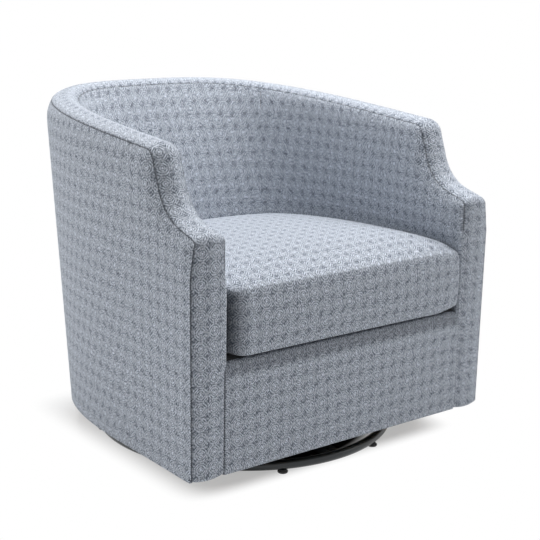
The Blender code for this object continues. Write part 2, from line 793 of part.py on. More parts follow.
def cross_mesh():
    half = CROSS_WIDTH / 2
    clear = (RING_RADIUS - RING_TUBE) * math.cos(math.pi / RING_FACETS) - GAP
    arm = math.sqrt(clear ** 2 - half ** 2)
    quarter = [(half, half), (half, arm), (-half, arm)]
    outline = []
    for turn in range(4):
        spin = turn * math.pi / 2
        outline += [(x * math.cos(spin) - y * math.sin(spin), x * math.sin(spin) + y * math.cos(spin))
                    for x, y in quarter]
    rings = [[(x, y + SWIVEL_Y, z) for x, y in outline] for z in (CROSS_TOP - CROSS_HEIGHT, CROSS_TOP)]
    return loft("base_cross", rings)


place_object("base_ring", ring_mesh(), BLACK_STEEL)
place_object("base_cross", cross_mesh(), BLACK_STEEL)

for number in range(1, FOOT_COUNT + 1):
    angle = 2 * math.pi * (number - 0.5) / FOOT_COUNT
    spot = (RING_RADIUS * math.cos(angle), SWIVEL_Y + RING_RADIUS * math.sin(angle))
    rings = []
    tread = FOOT_RADIUS - FOOT_CHAMFER
    for radius, z in ((tread, 0.0), (FOOT_RADIUS, FOOT_CHAMFER), (FOOT_RADIUS, FOOT_HEIGHT)):
        rings.append([(x, y, z) for x, y in circle(radius, 12, spot)])
    place_object(f"ring_foot_{number}", loft(f"ring_foot_{number}", rings), BLACK_PLASTIC)

# Swivel: two plates on a ring of balls, held by a king pin and nut
AXIS_SPOT = (0.0, SWIVEL_Y)
PIN_BORE = PIN_RADIUS + GAP
FLANGE_RADIUS = PIN_RADIUS + PIN_FLANGE


def washer(name, bore, radius, low, high, count=32):
    return turned(name, [(bore, low), (radius, low), (radius, high), (bore, high)], count, AXIS_SPOT)


place_object("swivel_lower_plate", washer("swivel_lower_plate", FLANGE_RADIUS + GAP, SWIVEL_PLATE_RADIUS,
                                          LOWER_PLATE_Z, LOWER_PLATE_Z + SWIVEL_PLATE), ZINC_STEEL)
BALL_SECTION = circle(BALL_RADIUS, 6, (BALL_TRACK_RADIUS, BALL_RING_Z + BALL_RADIUS), math.pi / 2)
place_object("swivel_ball_ring", turned("swivel_ball_ring", BALL_SECTION, 32, AXIS_SPOT), ZINC_STEEL)
place_object("swivel_upper_plate", washer("swivel_upper_plate", PIN_BORE, SWIVEL_PLATE_RADIUS, UPPER_PLATE_Z,
                                          UPPER_PLATE_Z + SWIVEL_PLATE), ZINC_STEEL, SWIVEL_PIVOT)
NUT_Z = UPPER_PLATE_Z + SWIVEL_PLATE + GAP
PIN_RINGS = ((FLANGE_RADIUS, LOWER_PLATE_Z), (FLANGE_RADIUS, LOWER_PLATE_Z + SWIVEL_PLATE),
             (PIN_RADIUS, LOWER_PLATE_Z + SWIVEL_PLATE), (PIN_RADIUS, NUT_Z + NUT_HEIGHT))
place_object("king_pin", loft("king_pin", [[(x, y, z) for x, y in circle(radius, 24, AXIS_SPOT)]
                                           for radius, z in PIN_RINGS]), ZINC_STEEL)
place_object("king_pin_nut", plate("king_pin_nut", circle(NUT_RADIUS, 6), [circle(PIN_BORE, 24)], NUT_HEIGHT,
                                   Matrix.Translation((0.0, SWIVEL_Y, NUT_Z))), ZINC_STEEL)

# Carriage plate that turns on the swivel
CARRIAGE_HOLE = NUT_RADIUS + CARRIAGE_HOLE_ROOM


def carriage_outline():
    half_x = WEB_X
    half_y = CARRIAGE_LENGTH / 2
    outline = []
    for turn, (sign_x, sign_y) in enumerate(((1, 1), (-1, 1), (-1, -1), (1, -1))):
        center = (sign_x * (half_x - CARRIAGE_CORNER), sign_y * (half_y - CARRIAGE_CORNER))
        for step in range(5):
            angle = (turn + step / 4) * math.pi / 2
            outline.append((center[0] + CARRIAGE_CORNER * math.cos(angle),
                            center[1] + CARRIAGE_CORNER * math.sin(angle)))
    return outline


place_object("carriage_plate", plate("carriage_plate", carriage_outline(), [circle(CARRIAGE_HOLE, 24)],
                                     CARRIAGE_PLATE, Matrix.Translation((0.0, SWIVEL_Y, CARRIAGE_Z))),
             BLACK_STEEL, SWIVEL_PIVOT)


# Glider: uprights on the carriage, links that hang from them, hangers under the mechanism rails
def side_frame(sign, x, y, z):
    """Frame for a plate drawn in (y, z) that stands at x and grows outwards on its own side."""
    return Matrix.Translation((sign * x, y, z)) @ Matrix(((0, 0, sign, 0), (1, 0, 0, 0), (0, 1, 0, 0),
                                                          (0, 0, 0, 1)))


def web_outline(base, foot, head):
    """Tapered web from a flat foot at one height to a round head about a pivot at height 0."""
    radius = LINK_WIDTH / 2
    way = 1 if foot < head else -1
    arc = [(radius * math.cos(angle), way * radius * math.sin(angle))
           for angle in np.linspace(0.0, math.pi, 9)]
    return [(-base / 2, foot), (base / 2, foot)] + arc


def stud(name, sign, x, y, z, radius, length):
    """Round stud that grows outwards from x."""
    return plate(name, circle(radius, 16), [], length, side_frame(sign, x, y, z))


STUD_ROOT = BRACKET_PLATE / 2
UPRIGHT_FOOT_Z = CARRIAGE_TOP + GAP


def add_upright(label, sign, y):
    name = f"glide_upright_{label}"
    foot_z = UPRIGHT_FOOT_Z - UPPER_PIVOT_Z
    web = plate(name, web_outline(BRACKET_BASE, foot_z, 0.0), [], BRACKET_PLATE,
                side_frame(sign, WEB_X - BRACKET_PLATE, y, UPPER_PIVOT_Z))
    inner = sorted((sign * (WEB_X - BRACKET_FOOT), sign * (WEB_X - STUD_ROOT)))
    foot = box(name, (inner[0], y - BRACKET_BASE / 2, UPRIGHT_FOOT_Z),
               (inner[1], y + BRACKET_BASE / 2, UPRIGHT_FOOT_Z + BRACKET_PLATE))
    shaft = stud(name, sign, WEB_X - STUD_ROOT, y, UPPER_PIVOT_Z, STUD_RADIUS,
                 STUD_HEAD_X + STUD_HEAD / 2 - WEB_X + STUD_ROOT)
    head = stud(name, sign, STUD_HEAD_X, y, UPPER_PIVOT_Z, STUD_HEAD_RADIUS, STUD_HEAD)
    place_object(name, fuse(name, [web, foot, shaft, head]), BLACK_STEEL, SWIVEL_PIVOT)


def add_link(label, sign, y):
    name = f"glide_link_{label}"
    radius = LINK_WIDTH / 2
    ends = [(radius * math.cos(angle), radius * math.sin(angle)) for angle in np.linspace(0.0, math.pi, 9)]
    outline = ends + [(-across, -LINK_LENGTH - rise) for across, rise in ends]
    holes = [circle(STUD_RADIUS + GAP, 16, (0.0, height)) for height in (0.0, -LINK_LENGTH)]
    hang = pivot(f"{name}_axis", (sign * LINK_X, y, UPPER_PIVOT_Z))
    place_object(name, plate(name, outline, holes, LINK_PLATE, side_frame(sign, LINK_X, y, UPPER_PIVOT_Z)),
                 ZINC_STEEL, hang)


def add_hanger(label, sign, y):
    name = f"hanger_{label}"
    top = HANGER_TOP - LOWER_PIVOT_Z
    web = plate(name, web_outline(BRACKET_BASE, top, 0.0), [], BRACKET_PLATE,
                side_frame(sign, HANGER_X, y, LOWER_PIVOT_Z))
    reach = sorted((sign * (HANGER_X + STUD_ROOT), sign * (HANGER_X + BRACKET_FOOT)))
    flange = box(name, (reach[0], y - BRACKET_BASE / 2, HANGER_TOP - BRACKET_PLATE),
                 (reach[1], y + BRACKET_BASE / 2, HANGER_TOP))
    shoulder = stud(name, sign, STUD_HEAD_X, y, LOWER_PIVOT_Z, STUD_HEAD_RADIUS,
                    HANGER_X + STUD_ROOT - STUD_HEAD_X)
    shaft = stud(name, sign, LINK_X, y, LOWER_PIVOT_Z, STUD_RADIUS, HANGER_X + STUD_ROOT / 2 - LINK_X)
    place_object(name, fuse(name, [web, flange, shoulder, shaft]), BLACK_STEEL, SEAT_PIVOT)


for end, end_sign in ENDS.items():
    for side, side_sign in SIDES.items():
        corner_y = SWIVEL_Y + end_sign * PIVOT_SPREAD_Y / 2
        add_upright(f"{end}_{side}", side_sign, corner_y)
        add_link(f"{end}_{side}", side_sign, corner_y)
        add_hanger(f"{end}_{side}", side_sign, corner_y)
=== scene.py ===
# Swivel glider barrel chair: the looks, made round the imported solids, from the floor up to the cushion.
# Metres, +Z up. The sitter looks along -Y, and the swivel axis is upright.

import math
from collections import namedtuple

import bmesh
import bpy
import numpy as np
from mathutils import Matrix, Vector


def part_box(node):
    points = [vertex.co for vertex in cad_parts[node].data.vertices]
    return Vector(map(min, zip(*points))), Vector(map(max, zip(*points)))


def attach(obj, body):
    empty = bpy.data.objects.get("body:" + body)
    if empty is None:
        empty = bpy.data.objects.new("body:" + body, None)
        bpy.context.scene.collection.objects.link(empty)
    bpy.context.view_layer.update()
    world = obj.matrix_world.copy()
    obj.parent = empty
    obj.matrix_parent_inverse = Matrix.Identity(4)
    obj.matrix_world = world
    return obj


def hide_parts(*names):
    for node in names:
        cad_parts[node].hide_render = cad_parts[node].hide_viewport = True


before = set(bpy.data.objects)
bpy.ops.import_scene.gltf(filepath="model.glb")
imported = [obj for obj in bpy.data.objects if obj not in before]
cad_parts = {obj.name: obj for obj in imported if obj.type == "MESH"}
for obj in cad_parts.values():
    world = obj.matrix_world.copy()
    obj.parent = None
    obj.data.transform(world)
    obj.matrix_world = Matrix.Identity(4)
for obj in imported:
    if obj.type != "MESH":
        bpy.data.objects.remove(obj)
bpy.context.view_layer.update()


# Ring base: a steel tube rolled into a ring and welded shut, with a cross of flat bar welded inside it.
# Both are powder-coated black in one go. The coat is glossy, with the faint orange peel such a coat has.
class Socket:
    """A socket of a node tree. Arithmetic on it adds Math nodes, and add() makes any other node."""

    def __init__(self, tree, plug=None):
        self.tree = tree
        self.plug = plug

    def add(self, kind, settings=None, inputs=None, output=0):
        """A new node with its settings and the values or links of its sockets. Gives one of its outputs."""
        node = self.tree.nodes.new(kind)
        for key, value in (settings or {}).items():
            setattr(node, key, value)
        for key, value in (inputs or {}).items():
            if isinstance(value, Socket):
                self.tree.links.new(value.plug, node.inputs[key])
            else:
                node.inputs[key].default_value = value
        return Socket(self.tree, node.outputs[output])

    def math(self, operation, *others):
        return self.add("ShaderNodeMath", {"operation": operation}, dict(enumerate((self, *others))))

    def out(self, key):
        """Another output of this socket's node."""
        return Socket(self.tree, self.plug.node.outputs[key])

    def __add__(self, other):
        return self.math("ADD", other)

    def __sub__(self, other):
        return self.math("SUBTRACT", other)

    def __rsub__(self, other):
        return self.add("ShaderNodeMath", {"operation": "SUBTRACT"}, {0: other, 1: self})

    def __mul__(self, other):
        return self.math("MULTIPLY", other)

    def __truediv__(self, other):
        return self.math("DIVIDE", other)

    def __abs__(self):
        return self.math("ABSOLUTE")

    __radd__ = __add__
    __rmul__ = __mul__

    def between(self, low, high):
        """0 below low, 1 above high, and a smooth rise between them."""
        return self.add("ShaderNodeMapRange", {"interpolation_type": "SMOOTHSTEP"},
                        {"Value": self, "From Min": low, "From Max": high})

    def mix(self, low, high):
        """The colour low where this is 0 and high where it is 1."""
        return self.add("ShaderNodeMix", {"data_type": "RGBA"}, {0: self, 6: low, 7: high}, 2)

    def into(self, plug):
        self.tree.links.new(self.plug, plug)


class Finish(Socket):
    """A material with one Principled shader."""

    def __init__(self, name, constants):
        self.material = bpy.data.materials.new(name)
        self.material.use_nodes = True
        super().__init__(self.material.node_tree)
        self.shader = self.tree.nodes["Principled BSDF"]
        for socket, value in constants.items():
            self.shader.inputs[socket].default_value = value

    def speckle(self, scale, detail=2.0):
        """Noise in the piece's own metres."""
        place = self.add("ShaderNodeTexCoord", output=3)
        return self.add("ShaderNodeTexNoise", {}, {"Vector": place, "Scale": scale, "Detail": detail})

    def paint(self, share, low, high):
        share.mix((*low, 1.0), (*high, 1.0)).into(self.shader.inputs["Base Color"])

    def roughen(self, value):
        value.into(self.shader.inputs["Roughness"])

    def emboss(self, strength, distance, height):
        bump = self.add("ShaderNodeBump", {}, {"Strength": strength, "Distance": distance, "Height": height})
        bump.into(self.shader.inputs["Normal"])


black_coat = Finish("black_powder_coat", {"IOR": 1.5})
coat_wear = black_coat.speckle(9.0, 4.0)
black_coat.paint(coat_wear.between(0.3, 0.75), (0.009, 0.0135, 0.0165), (0.016, 0.024, 0.029))
black_coat.roughen(0.24 + 0.14 * coat_wear)
black_coat.emboss(0.25, 0.0002, black_coat.speckle(700.0))


def in_scene(name, data):
    """A new object in the scene."""
    holder = bpy.data.objects.new(name, data)
    bpy.context.scene.collection.objects.link(holder)
    return holder


def applied(holder):
    """The plain mesh of an object with its modifiers. The object is taken away."""
    bpy.context.view_layer.update()
    mesh = bpy.data.meshes.new_from_object(holder.evaluated_get(bpy.context.evaluated_depsgraph_get()))
    bpy.data.objects.remove(holder)
    return mesh


def shape_mesh(name, shape):
    """The mesh of a bmesh shape, which is freed."""
    mesh = bpy.data.meshes.new(name)
    shape.to_mesh(mesh)
    shape.free()
    return mesh


def grown_mesh(name, sizes, grow):
    """The plain mesh of a Geometry Nodes tree: sizes are its named inputs, and grow() gives its geometry."""
    tree = bpy.data.node_groups.new(name, "GeometryNodeTree")
    tree.interface.new_socket("Geometry", in_out="OUTPUT", socket_type="NodeSocketGeometry")
    kinds = {int: "NodeSocketInt", float: "NodeSocketFloat", bpy.types.Object: "NodeSocketObject"}
    for label, value in sizes.items():
        tree.interface.new_socket(label, in_out="INPUT", socket_type=kinds[type(value)])
    entry = tree.nodes.new("NodeGroupInput")
    ends = {label: Socket(tree, entry.outputs[label]) for label in sizes}
    end = tree.nodes.new("NodeGroupOutput")
    grow(Socket(tree), ends).into(end.inputs[0])
    holder = in_scene(name, bpy.data.meshes.new(name))
    modifier = holder.modifiers.new(name, "NODES")
    modifier.node_group = tree
    for item in tree.interface.items_tree:
        if item.in_out == "INPUT":
            modifier[item.identifier] = sizes[item.name]
    return applied(holder)


def set_finish(mesh, finish):
    mesh.materials.clear()
    mesh.materials.append(finish.material)


def set_piece(name, mesh, finish, body, slot, *stands_for):
    """A finished piece: its mesh is already in place, it rides on a body and stands for CAD nodes."""
    set_finish(mesh, finish)
    mesh.shade_smooth()
    mesh.set_sharp_from_angle(angle=math.radians(50))
    piece = in_scene(name, mesh)
    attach(piece, body)
    if stands_for:
        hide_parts(*stands_for)
    return piece


ring_low, ring_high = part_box("base_ring")
ring_tube = (ring_high.z - ring_low.z) / 2
ring_middle = (ring_low + ring_high) / 2
ring_radius = (ring_high.x - ring_low.x) / 2 - ring_tube


def circle(tree, count, radius):
    """A curve with a number of points round a circle."""
    return tree.add("GeometryNodeCurvePrimitiveCircle", {}, {"Resolution": count, "Radius": radius})


def grow_ring(tree, size):
    """The ring's tube, swept round its middle line."""
    line = circle(tree, 180, size["Ring radius"])
    tube = circle(tree, 24, size["Tube radius"])
    return tree.add("GeometryNodeCurveToMesh", {}, {"Curve": line, "Profile Curve": tube})


ring_mesh = grown_mesh("ring_tube", {"Ring radius": ring_radius, "Tube radius": ring_tube}, grow_ring)
ring_mesh.transform(Matrix.Translation(ring_middle))
set_piece("ring_tube", ring_mesh, black_coat, "base", "black_steel", "base_ring")


def refinish(names, finish):
    """Gives CAD nodes whose shape is right a finish of their own."""
    for name in names:
        set_finish(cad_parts[name].data, finish)


refinish(["base_cross"], black_coat)

# Glides: eight moulded black plastic buttons, pressed into the underside of the ring.
# The moulding has a fine eroded texture and a rounded tread that has scuffed a little.
black_plastic = Finish("moulded_black_plastic", {"Roughness": 0.55})
black_plastic.paint(black_plastic.speckle(60.0, 3.0), (0.010, 0.010, 0.011), (0.028, 0.028, 0.030))
black_plastic.emboss(0.4, 0.0002, black_plastic.speckle(1500.0))

glide_low, glide_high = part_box("ring_foot_1")
glide_radius = (glide_high.x - glide_low.x) / 2
glide_height = glide_high.z
glide_nodes = [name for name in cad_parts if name.startswith("ring_foot_")]


def turned_mesh(name, profile, count):
    """Closed solid turned about Z from a profile of radius and height that starts and ends on the axis."""
    shape = bmesh.new()
    corners = [shape.verts.new((radius, 0.0, height)) for radius, height in profile]
    edges = [shape.edges.new(pair) for pair in zip(corners, corners[1:])]
    bmesh.ops.spin(shape, geom=corners + edges, cent=(0, 0, 0), axis=(0, 0, 1), angle=2 * math.pi,
                   steps=count, use_merge=True)
    bmesh.ops.remove_doubles(shape, verts=shape.verts, dist=1e-6)
    bmesh.ops.recalc_face_normals(shape, faces=shape.faces)
    return shape_mesh(name, shape)


glide_profile = [(0.0, 0.0), (0.72 * glide_radius, 0.0), (0.9 * glide_radius, 0.0006),
                 (0.98 * glide_radius, 0.0018), (glide_radius, 0.0035), (0.97 * glide_radius, 0.0052),
                 (0.78 * glide_radius, 0.0061), (0.74 * glide_radius, glide_height), (0.0, glide_height)]
glide_shape = in_scene("glide_shape", turned_mesh("glide_shape", glide_profile, 24))


def grow_glides(tree, size):
    """A glide at each of a number of points round the ring."""
    line = circle(tree, size["Count"], size["Radius"])
    shape = tree.add("GeometryNodeObjectInfo", {}, {"Object": size["Shape"]}, 4)
    spots = tree.add("GeometryNodeCurveToPoints", {"mode": "EVALUATED"}, {"Curve": line})
    spots = tree.add("GeometryNodeInstanceOnPoints", {}, {"Points": spots, "Instance": shape})
    return tree.add("GeometryNodeRealizeInstances", {}, {"Geometry": spots})


glide_sizes = {"Count": len(glide_nodes), "Radius": ring_radius, "Shape": glide_shape}
glide_mesh = grown_mesh("ring_glides", glide_sizes, grow_glides)
bpy.data.objects.remove(glide_shape)
glide_mesh.transform(Matrix.Translation((ring_middle.x, ring_middle.y, 0.0))
                     @ Matrix.Rotation(math.pi / len(glide_nodes), 4, "Z"))
set_piece("ring_glides", glide_mesh, black_plastic, "base", "black_plastic", *glide_nodes)

# Swivel: two pressed zinc-plated plates that run on a ring of balls, held by a king pin and its nut.
# The plating is pale and slightly streaked from the press.
zinc_plate = Finish("zinc_plate", {"Metallic": 1.0})
zinc_streaks = zinc_plate.speckle(35.0, 6.0)
zinc_plate.paint(zinc_streaks, (0.36, 0.37, 0.38), (0.58, 0.59, 0.59))
zinc_plate.roughen(0.28 + 0.22 * zinc_streaks)
refinish(["swivel_lower_plate", "swivel_ball_ring", "swivel_upper_plate", "king_pin", "king_pin_nut"],
         zinc_plate)

# Glider: a folded carriage plate with four uprights, four zinc links that hang from them, four hangers under
# the seat. The brackets are black like the ring, and the links run bare on their studs.
corners = [f"{end}_{side}" for end in ("front", "rear") for side in ("left", "right")]
brackets = [f"{part}_{corner}" for part in ("glide_upright", "hanger") for corner in corners]
refinish(["carriage_plate", *brackets], black_coat)
refinish([f"glide_link_{corner}" for corner in corners], zinc_plate)

# Wood frame: arm frames cut from plywood to the ogee, hardwood rails, stiles and ledgers, glued and stapled.
# Raw wood, with long grain and a little colour from board to board.
frame_wood = Finish("raw_frame_wood", {})
wood_place = frame_wood.add("ShaderNodeTexCoord", output=3)
wood_place = frame_wood.add("ShaderNodeMapping", {}, {"Vector": wood_place, "Scale": (60.0, 60.0, 6.0)})
wood_grain = frame_wood.add("ShaderNodeTexNoise", {}, {"Vector": wood_place, "Scale": 1.0, "Detail": 5.0,
                                                       "Distortion": 0.6})
frame_wood.paint(wood_grain.between(0.3, 0.7), (0.42, 0.27, 0.14), (0.70, 0.52, 0.32))
frame_wood.roughen(0.55 + 0.25 * wood_grain)
frame_wood.emboss(0.3, 0.0004, wood_grain)
refinish(["arm_frame_left", "arm_frame_right", "back_bottom_rail", "back_top_rail", "back_stile_left",
          "back_stile_right", "front_rail", "seat_ledger_left", "seat_ledger_right", "rear_spring_rail",
          "mechanism_rail_front", "mechanism_rail_rear"], frame_wood)

# Seat springs: five sinuous springs of drawn wire, clipped to the front rail and the rear spring rail.
# Bare wire with a thin dark oil film.
spring_wire = Finish("oiled_spring_wire", {"Metallic": 1.0})
spring_film = spring_wire.speckle(120.0, 3.0)
spring_wire.paint(spring_film, (0.16, 0.15, 0.15), (0.36, 0.36, 0.37))
spring_wire.roughen(0.30 + 0.2 * spring_film)
refinish([f"seat_spring_{number}" for number in range(1, 6)], spring_wire)

# Outside covers: the barrel's outer skin, jacquard over a thin layer of wadding, stretched over the frame.
# Each is drawn in a little towards its seam with the band, and is folded under at the bottom.
WIDTH = 0.855
DEPTH = 0.898
HEIGHT = 0.800
BODY_BOTTOM = 0.0645
BAND_CROWN = 0.004
SIDE_TAPER = 0.0078
FRONT_FLARE = 0.003
CURVE_Y = -DEPTH / 2 + 0.240
BACK_LEAN = 0.168
BACK_SQUARENESS = 2.94
RIM_SLOPE = 0.0785
RIM_BACK = HEIGHT - BAND_CROWN
FRONT_LINE = -DEPTH / 2 + BAND_CROWN
BACK_SEAM = 1 + 43 / 90
SHOULDER_Y = -DEPTH / 2 + 0.165
OGEE_LEAN = math.radians(20)
ARM_TOP_FALL = math.radians(15.6)
NOSE_HEIGHT = 0.577
ARM_RADII = (0.028, 0.130, 0.016, 0.003)
CLOTH = 0.004
SEAM_DROP = 0.003
PITCH = 0.007
ARM_PITCH = 0.0045
POST_FOLD = 0.016
DRAWN_REACH = 0.019
RIPPLE, RIPPLE_REACH = 0.00018, 0.014
HEM = 0.003
HEM_FOLD = ((-0.0010, 0.0008), (-0.0030, 0.0030), (-0.0030, 0.0100))
COVER_ROWS = 90
SEAM_SHADE = 0.0019
SIDE_SEAM = 0.0016
SIDE_GROOVE = 0.3
SEAM_SHARPNESS = 3.0
SEAM_STEPS = np.array([0.15, 0.5, 1.0, 1.6, 2.4, 3.6, 5.5, 8.0, 10.5]) / 1000


def outer_plan(step, z):
    """Right half of the barrel's outline at a height: step 0 is the front, 1 where it curves, 2 mid back."""
    step, z = np.broadcast_arrays(np.asarray(step, float), np.asarray(z, float))
    half = WIDTH / 2 - SIDE_TAPER * (HEIGHT - z)
    angle = np.clip(step - 1, 0.0, 1.0) * np.pi / 2
    reach = DEPTH / 2 - BACK_LEAN * (RIM_BACK - z) - CURVE_Y
    curve_x = half * np.maximum(np.cos(angle), 0.0) ** (2 / BACK_SQUARENESS)
    curve_y = CURVE_Y + reach * np.sin(angle) ** (2 / BACK_SQUARENESS)
    side_x = half + FRONT_FLARE * (1 - np.minimum(step, 1.0)) ** 2
    side_y = FRONT_LINE + step * (CURVE_Y - FRONT_LINE)
    return np.stack([np.where(step > 1, curve_x, side_x), np.where(step > 1, curve_y, side_y)], axis=-1)


def side_step(y):
    return (y - FRONT_LINE) / (CURVE_Y - FRONT_LINE)


def inward(step, z):
    """Level direction from the outline to the inside of the wall."""
    run = outer_plan(np.minimum(step + 1e-4, 2.0), z) - outer_plan(step - 1e-4, z)
    run /= np.linalg.norm(run, axis=-1, keepdims=True)
    return np.stack([-run[..., 1], run[..., 0]], axis=-1)


def path_length(points):
    return np.concatenate([[0.0], np.cumsum(np.linalg.norm(np.diff(points, axis=0), axis=1))])


def arm_path():
    """Side view of an arm's top from the curve to under the post: rim, shoulder, ogee, nose, post, fold."""
    rim = [[y, RIM_BACK - RIM_SLOPE * (DEPTH / 2 - y)] for y in (CURVE_Y, SHOULDER_Y)]
    nose = [FRONT_LINE, NOSE_HEIGHT]
    drop = np.array([-math.sin(OGEE_LEAN), -math.cos(OGEE_LEAN)])
    climb = np.array([math.cos(ARM_TOP_FALL), math.sin(ARM_TOP_FALL)])
    share = np.linalg.solve(np.column_stack([drop, -climb]), np.subtract(nose, rim[1]))
    ogee = rim[1] + drop * share[0]
    fold = BODY_BOTTOM + BAND_CROWN
    legs = np.array([*rim, ogee, nose, [FRONT_LINE, fold], [FRONT_LINE + POST_FOLD, fold]])
    path = [legs[0]]
    for before, corner, after, radius in zip(legs, legs[1:], legs[2:], ARM_RADII):
        back = (before - corner) / np.linalg.norm(before - corner)
        on = (after - corner) / np.linalg.norm(after - corner)
        half = math.acos(back @ on) / 2
        held = min(radius / math.tan(half), 0.48 * np.linalg.norm(before - corner),
                   0.48 * np.linalg.norm(after - corner))
        center = corner + (back + on) / np.linalg.norm(back + on) * held / math.cos(half)
        first, last = corner + back * held - center, corner + on * held - center
        sweep = math.pi - 2 * half
        for turn in np.linspace(0.0, 1.0, 25):
            path.append(center + (first * math.sin((1 - turn) * sweep) + last * math.sin(turn * sweep))
                        / math.sin(sweep))
    return np.array([*path, legs[-1]])


WallLine = namedtuple("WallLine", "step place across up along")


def even_marks(length, start_seam, end_seam, pitch=PITCH):
    """Marks along a length, about a pitch apart, and close together at the ends that meet a seam."""
    start = SEAM_STEPS if start_seam else np.array([0.0])
    end = length - SEAM_STEPS[::-1] if end_seam else np.array([length])
    count = max(2, round((end[0] - start[-1]) / pitch))
    return np.concatenate([start, np.linspace(start[-1], end[0], count + 1)[1:-1], end])


def wall_line(step, place, across):
    run = np.gradient(place, path_length(place), axis=0)
    up = np.cross(across, run)
    up /= np.linalg.norm(up, axis=1, keepdims=True)
    return WallLine(step, place, across, up, path_length(place))


def curve_steps(start, end, start_seam, end_seam):
    """Steps round the curve of the back, evenly spread at the rim."""
    fine = start + (end - start) * np.linspace(0.0, 1.0, 6001)
    length = path_length(outer_plan(fine, RIM_BACK))
    return np.interp(even_marks(length[-1], start_seam, end_seam), length, fine)


def rim_places(step):
    """Points of the rim round the back, whose height and plan depend on each other."""
    z = np.full_like(step, RIM_BACK)
    for _ in range(6):
        plan = outer_plan(step, z)
        z = RIM_BACK - RIM_SLOPE * (DEPTH / 2 - plan[:, 1])
    return np.column_stack([plan, z])


def back_line():
    """The wall's top from mid back to the seam on the right."""
    step = curve_steps(2.0, BACK_SEAM, False, True)
    place = rim_places(step)
    line = wall_line(step, place, np.column_stack([inward(step, place[:, 2]), 0 * step]))
    line.up[0] = (0.0, line.up[1][1], line.up[1][2])
    return line


def arm_line():
    """The wall's top from the seam on the right round to the fold under the post."""
    curve = curve_steps(BACK_SEAM, 1.0, True, False)[:-1]
    place = rim_places(curve)
    path = arm_path()
    length = path_length(path)
    marks = even_marks(length[-1], False, False, ARM_PITCH)
    side = np.column_stack([np.interp(marks, length, path[:, 0]), np.interp(marks, length, path[:, 1])])
    step = side_step(side[:, 0])
    side_place = np.column_stack([outer_plan(step, side[:, 1])[:, 0], side])
    across = np.column_stack([inward(curve, place[:, 2]), 0 * curve])
    across = np.concatenate([across, np.tile((-1.0, 0.0, 0.0), (len(side), 1))])
    step = np.concatenate([curve, np.minimum(step, 1.0)])
    return wall_line(step, np.concatenate([place, side_place]), across)


def part_line(line, count):
    return WallLine(*[field[:count] for field in line])


BACK_LINE = back_line()
ARM_LINE = arm_line()
POST_LINE = part_line(ARM_LINE, int(np.flatnonzero(ARM_LINE.place[:, 1] <= FRONT_LINE + 1e-6)[-1]) + 1)


def seam_inset(height):
    """How far the outer seam lies in from the wall: drawn in on rim and arm, at the corner on the post."""
    return np.interp(height, [0.50, 0.575], [0.0025, 0.0135])


def on_wall(line, depth, lift):
    """Points beside the wall's top: depth inwards from its outer face, lift above it."""
    depth, lift = np.broadcast_arrays(depth, lift, line.step)[:2]
    spot = line.place + line.up * lift[:, None]
    curved = line.step > 1
    z = np.where(curved, line.place[:, 2] + lift, spot[:, 2])
    step = np.where(curved, line.step, side_step(spot[:, 1]))
    plan = outer_plan(step, z) + line.across[:, :2] * depth[:, None]
    return np.column_stack([plan, z])


def below_top(line, y, z):
    """Distance of points of the wall from the wall's top, and the height of the nearest point of that top."""
    curved = line.step > 1
    away = line.place[:, 2] - z
    height = line.place[:, 2].copy()
    if not curved.all():
        path = line.place[~curved][:, 1:]
        spots = np.column_stack([y, z])[~curved]
        gaps = np.linalg.norm(spots[:, None] - path[None], axis=2)
        nearest = gaps.argmin(axis=1)
        away[~curved] = gaps[np.arange(len(spots)), nearest]
        height[~curved] = path[nearest, 1]
    return away, height


def groove(distance):
    """How far cloth dips into a seam, by the distance from it: a sharp cut in a shallow hollow."""
    cut = 0.0022 * np.exp(-(distance / 0.0011) ** 1.2)
    hollow = 0.0008 * np.exp(-(distance / 0.0055) ** 2)
    return cut + hollow


def drawn_in(distance, height):
    """How far an outside cover is drawn in towards its seam."""
    return seam_inset(height) * np.exp(-(distance / DRAWN_REACH) ** 1.5)


def ripple(along, distance):
    """Small puckers of the cloth beside a seam."""
    wave = np.sin(along / 0.0041) + np.sin(along / 0.0063 + 1.7)
    return RIPPLE * wave * np.exp(-distance / RIPPLE_REACH)


def modified(mesh, kind, **settings):
    """A copy of a mesh with one modifier applied."""
    holder = in_scene(mesh.name, mesh)
    modifier = holder.modifiers.new(kind, kind)
    for key, value in settings.items():
        setattr(modifier, key, value)
    return applied(holder)


def set_dark_seams_and_painted_shade(mesh, shade):
    """Keeps how dark the cloth's colour is painted, 1 at the darkest and 0 away: in a seam partly a dark
    joint and partly painted shade in its groove, elsewhere painted shade.
    """
    mesh.attributes.new("seam", "FLOAT", "POINT").data.foreach_set("value", shade.ravel())


def grid_faces(columns, rows):
    """Numbers of a grid's points, and its four-cornered faces."""
    index = np.arange(columns * rows).reshape(columns, rows)
    faces = np.stack([index[:-1, :-1], index[1:, :-1], index[1:, 1:], index[:-1, 1:]], axis=-1)
    return index, faces.reshape(-1, 4)


def cloth_mesh(name, points, weave, seam, flip, thickness):
    """Closed mesh of a panel, thickened inwards: a grid of points, the weave's place at each as its UV map,
    and the distance to the nearest seam or to painted shade, which sets how dark its colour is painted."""
    quads = grid_faces(*points.shape[:2])[1]
    mesh = bpy.data.meshes.new(name)
    mesh.from_pydata(points.reshape(-1, 3).tolist(), [], (quads[:, ::-1] if flip else quads).tolist())
    corner = np.zeros(len(mesh.loops), np.int32)
    mesh.loops.foreach_get("vertex_index", corner)
    mesh.uv_layers.new(name="weave").data.foreach_set("uv", weave.reshape(-1, 2)[corner].ravel())
    set_dark_seams_and_painted_shade(mesh, np.exp(-(seam / SEAM_SHADE) ** 2))
    return modified(mesh, "SOLIDIFY", thickness=thickness, offset=-1.0)


def mirrored(points):
    return points * np.array([-1.0, 1.0, 1.0])


